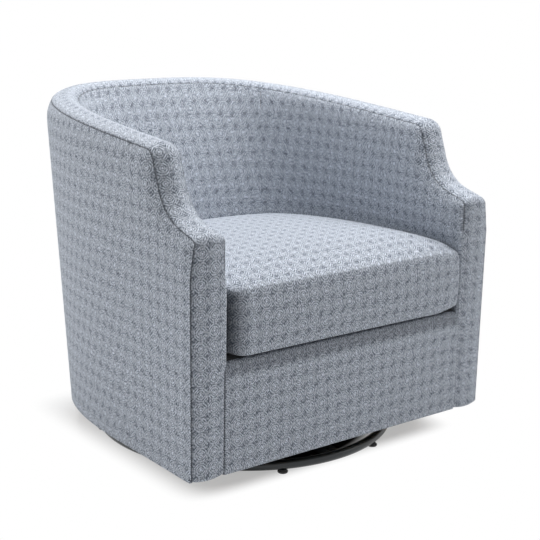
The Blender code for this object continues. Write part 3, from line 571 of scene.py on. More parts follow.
def whole_back(points, weave, seam):
    """A grid from mid back to the right seam, carried on to the left seam."""
    points = np.concatenate([mirrored(points)[:0:-1], points])
    weave = np.concatenate([(weave * np.array([-1.0, 1.0]))[:0:-1], weave])
    return points, weave, np.concatenate([seam[:0:-1], seam])


def spread_along(line, end):
    """Places along the bottom of an arm panel that share it out like the stations along its top."""
    side = line.along[line.step <= 1]
    share = np.clip((line.along - side[0]) / np.ptp(side), 0, 1) if len(side) else 0 * line.along
    return CURVE_Y + (end - CURVE_Y) * share


def weave_across(line, plan):
    """Place across the weave: y along the straight side, and the length round the curve behind it."""
    curved = line.step > 1
    first = int(np.argmax(~curved)) if not curved.all() else 0
    length = path_length(plan)
    return np.where(curved, CURVE_Y + np.abs(length - length[first]), plan[:, 1])


def from_seam(line, seam_end):
    """Distance along a panel from its upright seam, which is at its end or its start."""
    return line.along[-1] - line.along if seam_end else line.along


def sewn_top(line, face, weave, depths, drop, ends, side):
    """Adds the rows beside the band's seam to a panel, and draws it in, to one side, at its upright seam.
    Gives its points, the place of the weave at each and the distance of each row from the band."""
    upright = np.where((line.step > 1)[:, None], (0.0, 1.0), line.up[:, 1:])
    top = [on_wall(line, depth, -drop - distance) for depth, distance in zip(depths, SEAM_STEPS)]
    top_weave = [weave[0] + upright * (SEAM_STEPS[-1] - distance) for distance in SEAM_STEPS[:-1]]
    down = np.concatenate([SEAM_STEPS[:-1], SEAM_STEPS[-1] + PITCH * np.arange(len(face))])
    sunk = SIDE_GROOVE * groove(ends)[:, None] + ripple(line.along[:, None], down[None])
    points = np.stack(top + face, axis=1) + side * line.across[:, None, :] * sunk[..., None]
    return points, np.stack(top_weave + weave, axis=1), down[None]


def cover_grid(line, seam_end):
    """Points of an outside cover and the place of the weave at each, from the band's seam to the fold."""
    foot = on_wall(line, 0.0, -SEAM_DROP - SEAM_STEPS[-1])
    low_y = spread_along(line, FRONT_LINE + SEAM_DROP + SEAM_STEPS[-1])
    wall = []
    weave = []
    folds = [(share, 0.0, 0.0) for share in np.linspace(0.0, 1.0, COVER_ROWS)]
    folds += [(1.0, drop, tuck) for drop, tuck in HEM_FOLD]
    for share, drop, tuck in folds:
        z = foot[:, 2] + (BODY_BOTTOM + HEM - foot[:, 2]) * share + drop
        y = foot[:, 1] + (low_y - foot[:, 1]) * share
        plan = outer_plan(np.where(line.step > 1, line.step, side_step(y)), z)
        away, height = below_top(line, y, z)
        depth = drawn_in(away - SEAM_DROP, height) + tuck
        wall.append(np.column_stack([plan + line.across[:, :2] * depth[:, None], z]))
        weave.append(np.column_stack([weave_across(line, plan), z - tuck]))
    ends = from_seam(line, seam_end)
    depths = [drawn_in(distance, line.place[:, 2]) + groove(distance) for distance in SEAM_STEPS[:-1]]
    points, weave, down = sewn_top(line, wall, weave, depths, SEAM_DROP, ends, 1)
    return points, weave, np.minimum(SIDE_SEAM + SEAM_SHARPNESS * ends[:, None], down)


CELL = 0.0325
RINGS = 7.0
HATCHES = 4.5
THREAD = 0.0011
STROKE_LONG, STROKE_WIDE = 0.56, 0.32
jacquard = Finish("blue_grey_jacquard", {"Roughness": 0.9, "Specular IOR Level": 0.2, "Sheen Weight": 0.1,
                                         "Sheen Roughness": 0.5})
weave_place = jacquard.add("ShaderNodeUVMap", {"uv_map": "weave"})
warp = jacquard.add("ShaderNodeSeparateXYZ", {}, {"Vector": weave_place})
weft = warp.out(1)


def waves(along, count):
    """A cosine along the weave, with a number of waves to the unit."""
    return (along * (2 * math.pi * count)).math("COSINE")


def yarn_noise(place, scale, detail):
    """Noise on the cloth, which is flat."""
    return jacquard.add("ShaderNodeTexNoise", {"noise_dimensions": "2D"},
                        {"Vector": place, "Scale": scale, "Detail": detail})


# Nested octagons fill each cell, dark strokes cross where four cells meet, and slubs give the grain.
warp_away, weft_away = [abs((along / CELL).math("FRACT") - 0.5) for along in (warp, weft)]
straight = warp_away.math("MAXIMUM", weft_away)
slanted = 0.72 * (warp_away + weft_away)
octagon = straight.math("MAXIMUM", slanted)
rings = waves(octagon, RINGS)
stripes = rings.between(-0.7, 0.7) - 0.5
slant = (slanted - straight).between(-0.02, 0.05)
heart = 1 - octagon.between(0.03, 0.09)
edge_warp, edge_weft = [(along / CELL + 0.5).math("FRACT") - 0.5 for along in (warp, weft)]
diagonal = edge_warp + edge_weft
stroke_long, stroke_wide = diagonal / STROKE_LONG, (edge_warp - edge_weft) / STROKE_WIDE
stroke = 1 - (stroke_long * stroke_long + stroke_wide * stroke_wide).between(0.05, 1.0)
hatch = waves(diagonal, HATCHES)
slub_place = jacquard.add("ShaderNodeMapping", {}, {"Vector": weave_place, "Scale": (270.0, 210.0, 1.0)})
slubs = yarn_noise(slub_place, 1.0, 2.0)
wear = yarn_noise(weave_place, 38.0, 1.0)
strength = (0.16 + 0.22 * slant) * (0.45 + 1.1 * wear) * (1 - 0.55 * stroke)
tone = 0.475 + stripes * strength - stroke * (0.15 + 0.13 * hatch) + 0.50 * heart + 1.05 * (slubs - 0.5)
yarn = tone.between(0.0, 1.0).mix((0.080, 0.098, 0.128, 1.0), (0.71, 0.76, 0.845, 1.0))
# Painted shade: the seam attribute mixes the cloth's colour towards near black. In a seam this is partly a
# dark joint and partly shade in its groove; on the cushion's left side beside the post and on the front panel
# under the cushion's overhang it is painted shade.
dark_seam_and_painted_shade = jacquard.add("ShaderNodeAttribute", {"attribute_name": "seam"}, output=2)
(0.85 * dark_seam_and_painted_shade).mix(yarn, (0.015, 0.018, 0.024, 1.0)).into(jacquard.shader.inputs["Base Color"])
warp_thread, weft_thread = [(along * (2 * math.pi / THREAD)).math("SINE") for along in (warp, weft)]
jacquard.emboss(0.35, 0.0005, 0.6 * rings + 0.05 * (warp_thread * weft_thread))


def set_padded(name, mesh, fill, *stands_for):
    return set_piece(name, mesh, jacquard, "seat", "upholstery", *stands_for)


def set_cloth(name, grid, flip, fill, node, thickness=CLOTH):
    """A padded panel of jacquard, from its grid of points, places of the weave and distances to a seam."""
    return set_padded(name, cloth_mesh(name, *grid, flip, thickness), fill, node)


def mirrored_grid(points, weave, seam):
    return mirrored(points), weave, seam


def set_sides(name, grid, flip, fill, node):
    """A right-hand panel and its mirror image."""
    set_cloth(f"{name}_right", grid, flip, fill, f"{node}_right")
    set_cloth(f"{name}_left", mirrored_grid(*grid), not flip, fill, f"{node}_left")


set_sides("outside_arm_cover", cover_grid(POST_LINE, False), False, 0.9, "outside_arm")
set_cloth("outside_back_cover", whole_back(*cover_grid(BACK_LINE, True)), False, 0.9, "outside_back")

# Bands: one strip of jacquard over the back rim, and one down each arm over shoulder, ogee and nose.
# Each is sewn to the cover outside and the pad inside, over a roll of wadding that crowns it.
WALL = 0.080
INNER_DROP = 0.002
POST_INNER = 0.3422
POST_EASE = 0.006
BAND_SHIFT = 0.0036
BAND_WIDTH = 0.066
SEAM_HIDDEN = 0.02
SEAM_SHOWN = (0.475, 0.51)


def smooth_rise(value, low, high):
    """0 below low, 1 above high, and a smooth rise between them."""
    share = np.clip((value - low) / (high - low), 0.0, 1.0)
    return share * share * (3 - 2 * share)


def seam_shown(line):
    """How much of the inner seam shows: none beside the cushion, where the band is turned in at the edge."""
    return smooth_rise(line.place[:, 2], *SEAM_SHOWN)


def wall_width(line):
    """Width of the wall's top, which narrows a little down the post so that its inner face is upright."""
    flared = WALL + POST_EASE * (1 - np.minimum(line.step, 1.0)) ** 2
    return np.where(line.step >= 1, WALL, np.minimum(flared, line.place[:, 0] - POST_INNER))


def band_crown(height):
    """How far the wadding lifts the middle of a band: round on the rim and arm, nearly flat on the post."""
    return np.interp(height, [0.50, 0.56, 0.64], [0.003, 0.005, 0.010])


def band_grid(line, seam_end):
    """Points of a band from its outer seam to its inner one, and the place of the weave at each."""
    inset = seam_inset(line.place[:, 2])
    width = wall_width(line) - inset
    edge = SEAM_STEPS / BAND_WIDTH
    shares = np.concatenate([edge, np.linspace(edge[-1], 1 - edge[-1], 11)[1:-1], 1 - edge[::-1]])
    beside = np.minimum(shares, 1 - shares) * BAND_WIDTH
    rise = band_crown(line.place[:, 2]) + (SEAM_DROP + INNER_DROP) / 2
    points = []
    weave = []
    for share, away in zip(shares, beside):
        pulled = groove(away) * (seam_shown(line) if share > 0.5 else 1.0)
        lift = -SEAM_DROP + (SEAM_DROP - INNER_DROP) * share + rise * (1 - (2 * share - 1) ** 2) - pulled
        points.append(on_wall(line, inset + width * share, lift))
        weave.append(np.column_stack([width * (share - 0.5) + BAND_SHIFT, -line.along]))
    ends = from_seam(line, seam_end)
    sunk = SIDE_GROOVE * groove(ends)[:, None] + ripple(line.along[:, None], beside[None])
    points = np.stack(points, axis=1) - line.up[:, None, :] * sunk[..., None]
    beside = beside[None] + SEAM_HIDDEN * (shares > 0.5)[None] * (1 - seam_shown(line))[:, None]
    return points, np.stack(weave, axis=1), np.minimum(SIDE_SEAM + SEAM_SHARPNESS * ends[:, None], beside)


set_sides("arm_strip", band_grid(ARM_LINE, False), True, 0.8, "arm_band")
set_cloth("rim_strip", whole_back(*band_grid(BACK_LINE, True)), True, 0.8, "back_band")

# Inside back and inside arms: jacquard over foam, sewn to the bands above and to each other at the corners.
# They lean from the rim down to the seat and go down behind the cushion to the deck.
SEAT_HALF = 0.338
SEAT_BACK = -DEPTH / 2 + 0.659
SEAT_SQUARENESS = 3.0
SEAT_LEVEL = 0.4505
PAD_BOTTOM = 0.2887
PAD_ROWS = 60
BACK_SWELL = 0.016
PAD_CLOTH = 0.008
ARM_SWELL = 0.006
PAD_ROUND = 0.009
PAD_SEAM_SHARPNESS = 1.5
ROLL_BLEND = 0.06
SWELL_REACH = 0.18
HOLD_FROM, HOLD_TO = FRONT_LINE + 0.0125, FRONT_LINE + 0.09
LEFT_ROLL, RIGHT_ROLL = 0.011, 0.004


def seat_plan(step):
    """Right half of the seat space at cushion height."""
    quarter = math.pi / 2
    angle = np.interp((step - 1) * quarter, [0.0, math.radians(43), quarter],
                      [0.0, math.radians(56), quarter])
    x = SEAT_HALF * np.maximum(np.cos(angle), 0.0) ** (2 / SEAT_SQUARENESS)
    y = CURVE_Y + (SEAT_BACK - CURVE_Y) * np.sin(angle) ** (2 / SEAT_SQUARENESS)
    return np.where((step > 1)[:, None], np.column_stack([x, y]),
                    np.column_stack([0 * step + SEAT_HALF, FRONT_LINE + step * (CURVE_Y - FRONT_LINE)]))


def puffed(distance, z, roll):
    """How far the foam rounds a pad out beside the band, with a roll of its own beside the cushion."""
    rise = smooth_rise(z, SEAT_LEVEL, SEAT_LEVEL + ROLL_BLEND)
    edge = 1 - np.exp(-distance / (0.004 + 0.005 * rise))
    fade = np.exp(-(distance / (0.05 + 0.09 * rise)) ** 2)
    return (roll + (PAD_ROUND - roll) * rise) * edge * fade


def pad_grid(line, swell, seam_end, roll=PAD_ROUND):
    """Points of an inside pad and the place of the weave at each, from the band's seam down to the deck."""
    width = wall_width(line)
    curved = line.step > 1
    ends = from_seam(line, seam_end)
    swell = ARM_SWELL + (swell - ARM_SWELL) * smooth_rise(ends, 0.0, SWELL_REACH)
    head = on_wall(line, width, -INNER_DROP - SEAM_STEPS[-1])
    seat = seat_plan(line.step)
    low_y = spread_along(line, FRONT_LINE + INNER_DROP + SEAM_STEPS[-1])
    order = np.argsort(head[:, 1], kind="stable")
    face = []
    weave = []
    for share in np.linspace(0.0, 1.0, PAD_ROWS):
        z = head[:, 2] + (PAD_BOTTOM - head[:, 2]) * share
        y = head[:, 1] + (low_y - head[:, 1]) * share
        top = np.where(curved, head[:, 2], np.interp(y, head[order, 1], head[order, 2]))
        top_x = np.interp(y, head[order, 1], head[order, 0])
        rise = np.clip((z - SEAT_LEVEL) / (top - SEAT_LEVEL), 0.0, 1.0)
        bulge = swell * 4 * rise * (1 - rise)
        away = below_top(line, y, z)[0] - INNER_DROP
        puff = puffed(away, z, roll)
        bent = seat + (head[:, :2] - seat) * rise[:, None] + line.across[:, :2] * (bulge + puff)[:, None]
        hold = smooth_rise(y, HOLD_FROM, HOLD_TO)
        flat = SEAT_HALF + (top_x - SEAT_HALF) * rise - bulge
        side = np.column_stack([POST_INNER + (flat - POST_INNER) * hold - puff, y])
        plan = np.where(curved[:, None], bent, side)
        face.append(np.column_stack([plan, z]))
        weave.append(np.column_stack([weave_across(line, plan), z]))
    shown = seam_shown(line)
    depths = [width + puffed(distance, line.place[:, 2], roll) - groove(distance) * shown
              for distance in SEAM_STEPS[:-1]]
    points, weave, down = sewn_top(line, face, weave, depths, INNER_DROP, ends, -1)
    down = down + SEAM_HIDDEN * (1 - shown)[:, None]
    return points, weave, np.minimum(SIDE_SEAM + PAD_SEAM_SHARPNESS * ends[:, None], down)


SEAT_LINE = part_line(POST_LINE, int(np.sum(POST_LINE.place[:, 2] > PAD_BOTTOM)))
set_cloth("inside_arm_pad_right", pad_grid(SEAT_LINE, ARM_SWELL, False, RIGHT_ROLL), True, 0.9,
          "inside_arm_right", PAD_CLOTH)
set_cloth("inside_arm_pad_left", mirrored_grid(*pad_grid(SEAT_LINE, ARM_SWELL, False, LEFT_ROLL)), False, 0.9,
          "inside_arm_left", PAD_CLOTH)
set_cloth("inside_back_pad", whole_back(*pad_grid(BACK_LINE, BACK_SWELL, True)), True, 0.9,
          "inside_back", PAD_CLOTH)

# Front panel: jacquard over board between the posts, its sides turned in against the bands.
# Its top edge rolls back under the cushion, and its bottom edge is folded under and stapled.
PANEL_TOP = 0.3135
PANEL_BOTTOM = BODY_BOTTOM + 0.0027
PANEL_ROLL_DEEP, PANEL_ROLL_HIGH = 0.012, 0.028
PANEL_ROWS = 40
PANEL_PROUD = 0.0015
PANEL_EDGE, PANEL_TURN = 0.005, 0.004
PANEL_DIP, PANEL_DIP_REACH = 0.006, 0.018
# Strength and reach of the painted shade under the cushion's overhang.
PANEL_SHADE = 0.55
SHADE_FROM, SHADE_TO = PANEL_TOP - 0.042, PANEL_TOP - 0.016


def panel_grid():
    """Points of the front panel and the place of the weave at each, from its fold up over its top edge.
    Its top carries painted shade where the cushion hangs over it: its colour is darkened in the same way as
    beside a seam."""
    turn = np.linspace(0.0, math.pi / 2, 7)
    fold = [[0.010, PANEL_BOTTOM], [0.003, PANEL_BOTTOM], [0.0008, PANEL_BOTTOM + 0.0012]]
    flat = np.linspace(PANEL_BOTTOM + 0.004, PANEL_TOP - PANEL_ROLL_HIGH, PANEL_ROWS)
    flat = np.column_stack([np.zeros(PANEL_ROWS), flat])
    roll = np.column_stack([PANEL_ROLL_DEEP * (1 - np.cos(turn)),
                            PANEL_TOP - PANEL_ROLL_HIGH * (1 - np.sin(turn))])
    up = np.concatenate([fold, flat, roll[1:]])
    tall = path_length(up)
    across = even_marks(2 * POST_INNER, True, True) - POST_INNER
    away = POST_INNER - np.abs(across)
    edge = np.clip(away / PANEL_EDGE, 0.0, 1.0)
    turned_in = PANEL_TURN * (1 - np.sqrt(1 - (1 - edge) ** 2)) + groove(away)
    x = np.repeat(across[:, None], len(up), axis=1)
    y = FRONT_LINE - PANEL_PROUD + up[None, :, 0] + turned_in[:, None]
    dip = PANEL_DIP * (1 - smooth_rise(away, 0.0, PANEL_DIP_REACH))
    z = up[None, :, 1] - dip[:, None] * (up[None, :, 1] - PANEL_BOTTOM) / (PANEL_TOP - PANEL_BOTTOM)
    weave = np.stack([x, np.repeat(tall[None], len(across), axis=0)], axis=-1)
    # Painted shade under the cushion's overhang, given as a distance for the seam darkening to read.
    shade = PANEL_SHADE * smooth_rise(z, SHADE_FROM, SHADE_TO)
    under_cushion = SEAM_SHADE * np.sqrt(-np.log(np.maximum(shade, 1e-9)))
    return np.stack([x, y, z], axis=-1), weave, np.minimum(away[:, None], under_cushion)


set_cloth("front_cloth_panel", panel_grid(), False, 0.9, "front_panel")

# Seat deck: dark deck cloth over a felt pad, laid on the springs and sewn to the front panel's top edge.
# Its edges are rounded by the felt. Only its front edge can be seen, past the cushion.
DECK_LOW, DECK_HIGH = 0.2889, 0.3176
DECK_FRONT = FRONT_LINE + 0.0125
DECK_ROLL = 0.007
SEAT_COLUMNS, SEAT_ROWS = 56, 52
CORNER_MARKS = 40
deck_felt = Finish("dark_deck_cloth", {"Roughness": 0.95, "Sheen Weight": 0.2})
deck_felt.paint(deck_felt.speckle(900.0, 3.0), (0.018, 0.019, 0.021), (0.050, 0.052, 0.056))
deck_felt.emboss(0.5, 0.0006, deck_felt.speckle(1200.0))


def seat_side(gap, front, corner, ease, reach):
    """Right half of a pad's outline in the seat space, from mid front to mid back. It is kept clear by a
    gap, and its rounded front corner is eased in, or out, over a reach behind the front."""
    turn = np.linspace(0.0, math.pi / 2, CORNER_MARKS)
    half = SEAT_HALF - gap
    round_corner = np.column_stack([half - ease - corner + corner * np.sin(turn),
                                    front + corner - corner * np.cos(turn)])
    rear = seat_plan(np.linspace(side_step(front + corner) + 0.02, 2.0, 3000))
    drawn = ease * (1 - smooth_rise(rear[:, 1], front + corner, front + corner + reach))
    rear = np.column_stack([rear[:, 0] * half / SEAT_HALF - drawn, rear[:, 1] - gap * (rear[:, 1] > CURVE_Y)])
    return np.concatenate([[[0.0, front]], round_corner, rear])


def side_spots(side):
    """Points of one half of a pad's outline: half its front, its side and half its back."""
    length = path_length(side)
    front_corner = (length[1] + length[CORNER_MARKS]) / 2
    back_corner = length[np.argmin(np.abs(side[:, 0] - side[:, 1] - 0.10) + (length < 0.7))]
    marks = np.concatenate([np.linspace(0.0, front_corner, SEAT_COLUMNS // 2 + 1),
                            np.linspace(front_corner, back_corner, SEAT_ROWS)[1:],
                            np.linspace(back_corner, length[-1], SEAT_COLUMNS // 2 + 1)[1:]])
    return np.column_stack([np.interp(marks, length, side[:, axis]) for axis in (0, 1)])


def outwards(loop):
    """Level direction outwards at each point of a closed line that runs anticlockwise."""
    run = np.roll(loop, -1, axis=0) - np.roll(loop, 1, axis=0)
    run /= np.linalg.norm(run, axis=1, keepdims=True)
    return np.column_stack([run[:, 1], -run[:, 0]])


def seat_ring(right_side, left_side):
    """A pad's whole outline, round from its mid front, and the direction outwards at each point."""
    left = side_spots(left_side) * (-1, 1)
    ring = np.concatenate([side_spots(right_side), left[-2:0:-1]])
    return ring, outwards(ring)


def seat_panel(edge, crown):
    """Grid of points that fills a ring from its front to its back, lifted by a crown."""
    columns, rows = SEAT_COLUMNS, SEAT_ROWS
    loop = np.roll(edge, columns // 2, axis=0)
    front = loop[:columns + 1]
    right = loop[columns:columns + rows]
    back = loop[columns + rows - 1:2 * columns + rows][::-1]
    left = np.concatenate([loop[2 * columns + rows - 1:], loop[:1]])[::-1]
    s = np.linspace(0.0, 1.0, columns + 1)[:, None, None]
    t = np.linspace(0.0, 1.0, rows)[None, :, None]
    flat = ((1 - t) * front[:, None] + t * back[:, None] + (1 - s) * left[None] + s * right[None]
            - (1 - s) * (1 - t) * front[0] - s * (1 - t) * front[-1]
            - (1 - s) * t * back[0] - s * t * back[-1])
    lift = (1 - np.abs(2 * s - 1) ** 3) * (1 - np.abs(2 * t - 1) ** 3)
    flat[..., 2] += crown * lift[..., 0] ** 0.8
    return flat


def boxed_faces(rings, crown):
    """Points and faces of a closed pad: a top, the rings of its sides and a bottom, joined at their edges.
    Gives the points, the top's and bottom's faces and the faces of the sides, ring by ring."""
    count = len(rings[0])
    top, bottom = seat_panel(rings[0], crown), seat_panel(rings[-1], 0.0)
    index, flat = grid_faces(SEAT_COLUMNS + 1, SEAT_ROWS)
    rim = np.concatenate([index[:-1, 0], index[-1, :-1], index[:0:-1, -1], index[0, :0:-1]])
    rim = np.roll(rim, -(SEAT_COLUMNS // 2))
    side_loops = [2 * index.size + count * level + np.arange(count) for level in range(len(rings) - 2)]
    loops = [rim, *side_loops, rim + index.size]
    sides = [np.column_stack([up, low, np.roll(low, -1), np.roll(up, -1)])
             for up, low in zip(loops, loops[1:])]
    points = np.concatenate([top.reshape(-1, 3), bottom.reshape(-1, 3), *rings[1:-1]])
    return points, flat, flat[:, ::-1] + index.size, sides


def rolled_section(low, high, top_roll, low_roll, bulge):
    """A pad's side from its top edge to its bottom edge, as inset and height: rolled, bulged and rolled."""
    turns = np.linspace(0.0, math.pi / 2, 9)
    section = [(top_roll * (1 - math.sin(turn)), high - top_roll * (1 - math.cos(turn))) for turn in turns]
    for share in np.linspace(0.0, 1.0, 18)[1:-1]:
        section.append((-bulge * (1 - (2 * share - 1) ** 2),
                        high - top_roll + (low + low_roll - high + top_roll) * share))
    foot = [(low_roll * (1 - math.cos(turn)), low + low_roll * (1 - math.sin(turn))) for turn in turns]
    return section + foot


deck_side = seat_side(gap=0.0035, front=DECK_FRONT, corner=0.006, ease=0.0, reach=0.1)
deck_ring, deck_out = seat_ring(deck_side, deck_side)
deck_rings = [np.column_stack([deck_ring - deck_out * inset, np.full(len(deck_ring), z)])
              for inset, z in rolled_section(DECK_LOW, DECK_HIGH, DECK_ROLL, low_roll=0.004, bulge=0.0)]
deck_points, *deck_panels, deck_sides = boxed_faces(deck_rings, crown=0.0)
deck_mesh = bpy.data.meshes.new("deck_pad")
deck_mesh.from_pydata(deck_points.tolist(), [], np.concatenate([*deck_panels, *deck_sides]).tolist())
set_piece("deck_pad", deck_mesh, deck_felt, "seat", "deck_felt", "seat_deck")

# Dust cover: black non-woven cloth, cut to the inside of the frame, pulled flat and stapled up to the rails.
# It sags a little between the rails and ripples between its staples.
LINING = 0.0008
LINING_HIGH = 0.2077
LINING_SAG = 0.0022
LINING_INSET = 0.0006
LINING_MARKS = 240
MARKS_PER_STAPLE = 4.5
STAPLE_PULL, PULL_REACH = 0.0004, 0.05
RAIL_SPOTS = (-0.186, 0.074)
RAIL_NEAR, RAIL_FAR = 0.030, 0.075
black_lining = Finish("black_non_woven", {"Roughness": 0.9})
black_lining.paint(black_lining.speckle(500.0, 4.0), (0.008, 0.008, 0.009), (0.030, 0.030, 0.032))
black_lining.emboss(0.5, 0.0005, black_lining.speckle(800.0))


def lining_outline(inset):
    """Closed outline of the dust cover, taken from its CAD solid and drawn in by an inset."""
    spots = np.array([corner.co[:2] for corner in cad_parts["dust_cover"].data.vertices])
    spots = np.unique(spots.round(5), axis=0)
    middle = (spots.min(axis=0) + spots.max(axis=0)) / 2
    turn = np.arctan2(*(spots - middle).T[::-1])
    spots = spots[np.argsort(turn)]
    spots = np.concatenate([spots, spots[:1]])
    length = path_length(spots)
    marks = np.linspace(0.0, length[-1], LINING_MARKS, endpoint=False)
    line = np.column_stack([np.interp(marks, length, spots[:, axis]) for axis in (0, 1)])
    return line - inset * outwards(line)


def lining_mesh(edge):
    """The cover's cloth as rings from its edge to its middle."""
    index = np.arange(LINING_MARKS)
    middle = np.array([0.0, (edge[:, 1].min() + edge[:, 1].max()) / 2])
    rings = []
    for share in np.concatenate([[1.0, 0.985, 0.97], np.linspace(0.94, 0.03, 30)]):
        spot = middle + (edge - middle) * share
        near_rail = np.min([np.abs(spot[:, 1] - rail) for rail in RAIL_SPOTS], axis=0)
        sag = LINING_SAG * smooth_rise(near_rail, RAIL_NEAR, RAIL_FAR) * smooth_rise(1 - share, 0.0, 0.25)
        pull = STAPLE_PULL * np.cos(index * 2 * math.pi / MARKS_PER_STAPLE)
        pull = pull * math.exp(-((1 - share) / PULL_REACH))
        rings.append(np.column_stack([spot, LINING_HIGH - LINING - sag - np.abs(pull)]))
    points = np.concatenate([*rings, [[*middle, rings[-1][:, 2].mean()]]])
    faces = []
    for level in range(len(rings) - 1):
        near, far = index + LINING_MARKS * level, index + LINING_MARKS * (level + 1)
        faces += np.column_stack([near, far, np.roll(far, -1), np.roll(near, -1)]).tolist()
    faces += [[int(a), len(points) - 1, int(b)] for a, b in zip(far, np.roll(far, -1))]
    mesh = bpy.data.meshes.new("dust_cloth")
    mesh.from_pydata(points.tolist(), [], faces)
    return mesh


lining_edge = lining_outline(LINING_INSET)
lining_cloth = modified(lining_mesh(lining_edge), "SOLIDIFY", thickness=LINING, offset=-1.0)
dust_cloth = set_piece("dust_cloth", lining_cloth, black_lining, "seat", "lining", "dust_cover")

# Staples: flat-crowned wire staples along the dust cover's edge, shot up through the cloth.
# Galvanised wire, its crown pressed nearly flush.
STAPLE_PITCH = 0.042
STAPLE_INSET = 0.008
STAPLE_CLEAR = 0.0003


def staple_mesh():
    """Crown of a staple along Z, with bent-over shoulders that go up along X into the wood."""
    shape = bmesh.new()
    thick, wide, long, deep = 0.0005, 0.0007, 0.005, 0.0012
    ends = ((-long, -0.0042), (0.0042, long))
    crown = ((-thick, -wide, -long), (0.0, wide, long))
    shoulders = [((0.0, -wide, low), (deep, wide, high)) for low, high in ends]
    for low, high in (crown, *shoulders):
        for corner in bmesh.ops.create_cube(shape, size=1.0)["verts"]:
            corner.co = [low[axis] if corner.co[axis] < 0 else high[axis] for axis in range(3)]
    return shape_mesh("staple", shape)


def line_object(name, lines):
    """A mesh of edges alone, for lines that Geometry Nodes follow. A closed line ends on its first point."""
    points = np.concatenate(lines)
    edges = []
    start = 0
    for line in lines:
        edges += [(start + step, start + step + 1) for step in range(len(line) - 1)]
        start += len(line)
    mesh = bpy.data.meshes.new(name)
    mesh.from_pydata(points.tolist(), edges, [])
    return in_scene(name, mesh)


def grow_along(tree, size):
    """A shape set along lines at a pitch: its Z follows the line and its X the side."""
    lines = tree.add("GeometryNodeObjectInfo", {}, {"Object": size["Lines"]}, 4)
    curve = tree.add("GeometryNodeMeshToCurve", {}, {"Mesh": lines})
    spots = tree.add("GeometryNodeCurveToPoints", {"mode": "LENGTH"},
                     {"Curve": curve, "Length": size["Pitch"]})
    shape = tree.add("GeometryNodeObjectInfo", {}, {"Object": size["Shape"]}, 4)
    set_out = tree.add("GeometryNodeInstanceOnPoints", {}, {"Points": spots, "Instance": shape,
                                                            "Rotation": spots.out("Rotation")})
    return tree.add("GeometryNodeRealizeInstances", {}, {"Geometry": set_out})


def set_along(name, lines, shape, pitch, finish, body, slot):
    """A piece of equal shapes set along lines."""
    path, part = line_object(f"{name}_lines", lines), in_scene(f"{name}_shape", shape)
    mesh = grown_mesh(name, {"Lines": path, "Shape": part, "Pitch": pitch}, grow_along)
    bpy.data.objects.remove(path)
    bpy.data.objects.remove(part)
    return set_piece(name, mesh, finish, body, slot)


staple_line = lining_outline(STAPLE_INSET)
staple_line = np.column_stack([staple_line, np.full(LINING_MARKS, LINING_HIGH - LINING - STAPLE_CLEAR)])
staple_line = np.concatenate([staple_line, staple_line[:1]])
set_along("dust_cover_staples", [staple_line], staple_mesh(), STAPLE_PITCH, zinc_plate, "seat", "zinc_steel")

# Seat cushion: a loose box cushion of jacquard over foam in a fibre wrap, flush with the front of the posts.
# Top and bottom are sewn to a boxing strip with plain seams, and the fibre swells the top between them.
CUSHION_LOW = 0.3183
CUSHION_HIGH = 0.4655
CUSHION_CROWN = 0.010
TOP_ROLL = 0.020
LOW_ROLL = 0.011
SEWN_RING = 4
FRONT_DROP = 0.0045
FILLING_STEPS = 20
FILLING_PRESSURE = 4.0
SIDE_SWELL, TOP_SWELL, LOW_SWELL = 0.0015, 0.006, 0.0003
CORNER_X, CORNER_REACH = 0.333, 0.034
# Painted shade on the cushion's left side: where it starts, how far it reaches, the extra shade right beside
# the post, and where it fades out below the top.
CREASE_START, CREASE_REACH = -0.335, 0.052
POST_SIDE_FROM, POST_SIDE_TO = 0.326, 0.332
CREASE_END, CREASE_GONE = 0.452, 0.470
cushion_ring, cushion_out = seat_ring(
    seat_side(gap=0.001, front=FRONT_LINE, corner=0.008, ease=-0.0025, reach=0.03),
    seat_side(gap=0.0005, front=FRONT_LINE, corner=0.030, ease=0.0075, reach=0.05))
cushion_section = rolled_section(CUSHION_LOW, CUSHION_HIGH, TOP_ROLL, LOW_ROLL, bulge=0.003)


def top_slope(y):
    """How far the top lies over or under its front edge: it rises behind the edge and falls to the back."""
    behind = y - FRONT_LINE
    rise = 0.014 * (1 - np.exp(-behind / 0.04))
    fall = 0.060 * np.maximum(behind - 0.12, 0.0) ** 1.6
    return rise - fall


def cushion_rings():
    """Rings of the cushion's side from the top down. Its front corners are drawn down above and up below."""
    corner = np.array([CORNER_X, FRONT_LINE])
    away = np.linalg.norm(np.column_stack([np.abs(cushion_ring[:, 0]), cushion_ring[:, 1]]) - corner, axis=1)
    pull = np.exp(-(away / CORNER_REACH) ** 2)
    drop = FRONT_DROP * np.exp(-((cushion_ring[:, 1] - FRONT_LINE) / 0.012) ** 2)
    rings = []
    for level, (inset, z) in enumerate(cushion_section):
        share = (z - CUSHION_LOW) / (CUSHION_HIGH - CUSHION_LOW)
        drawn_up, drawn_down = 0.010 * (1 - share) ** 2, 0.007 * share ** 2
        shift = pull * (drawn_up - drawn_down) - drop * (1 - share) ** 4
        ridge = {SEWN_RING: -0.0011, SEWN_RING - 1: 0.0003, SEWN_RING + 1: 0.0006}.get(level, 0.0)
        spot = cushion_ring - cushion_out * (inset + ridge)
        rings.append(np.column_stack([spot, z + shift + share * top_slope(spot[:, 1])]))
    return rings


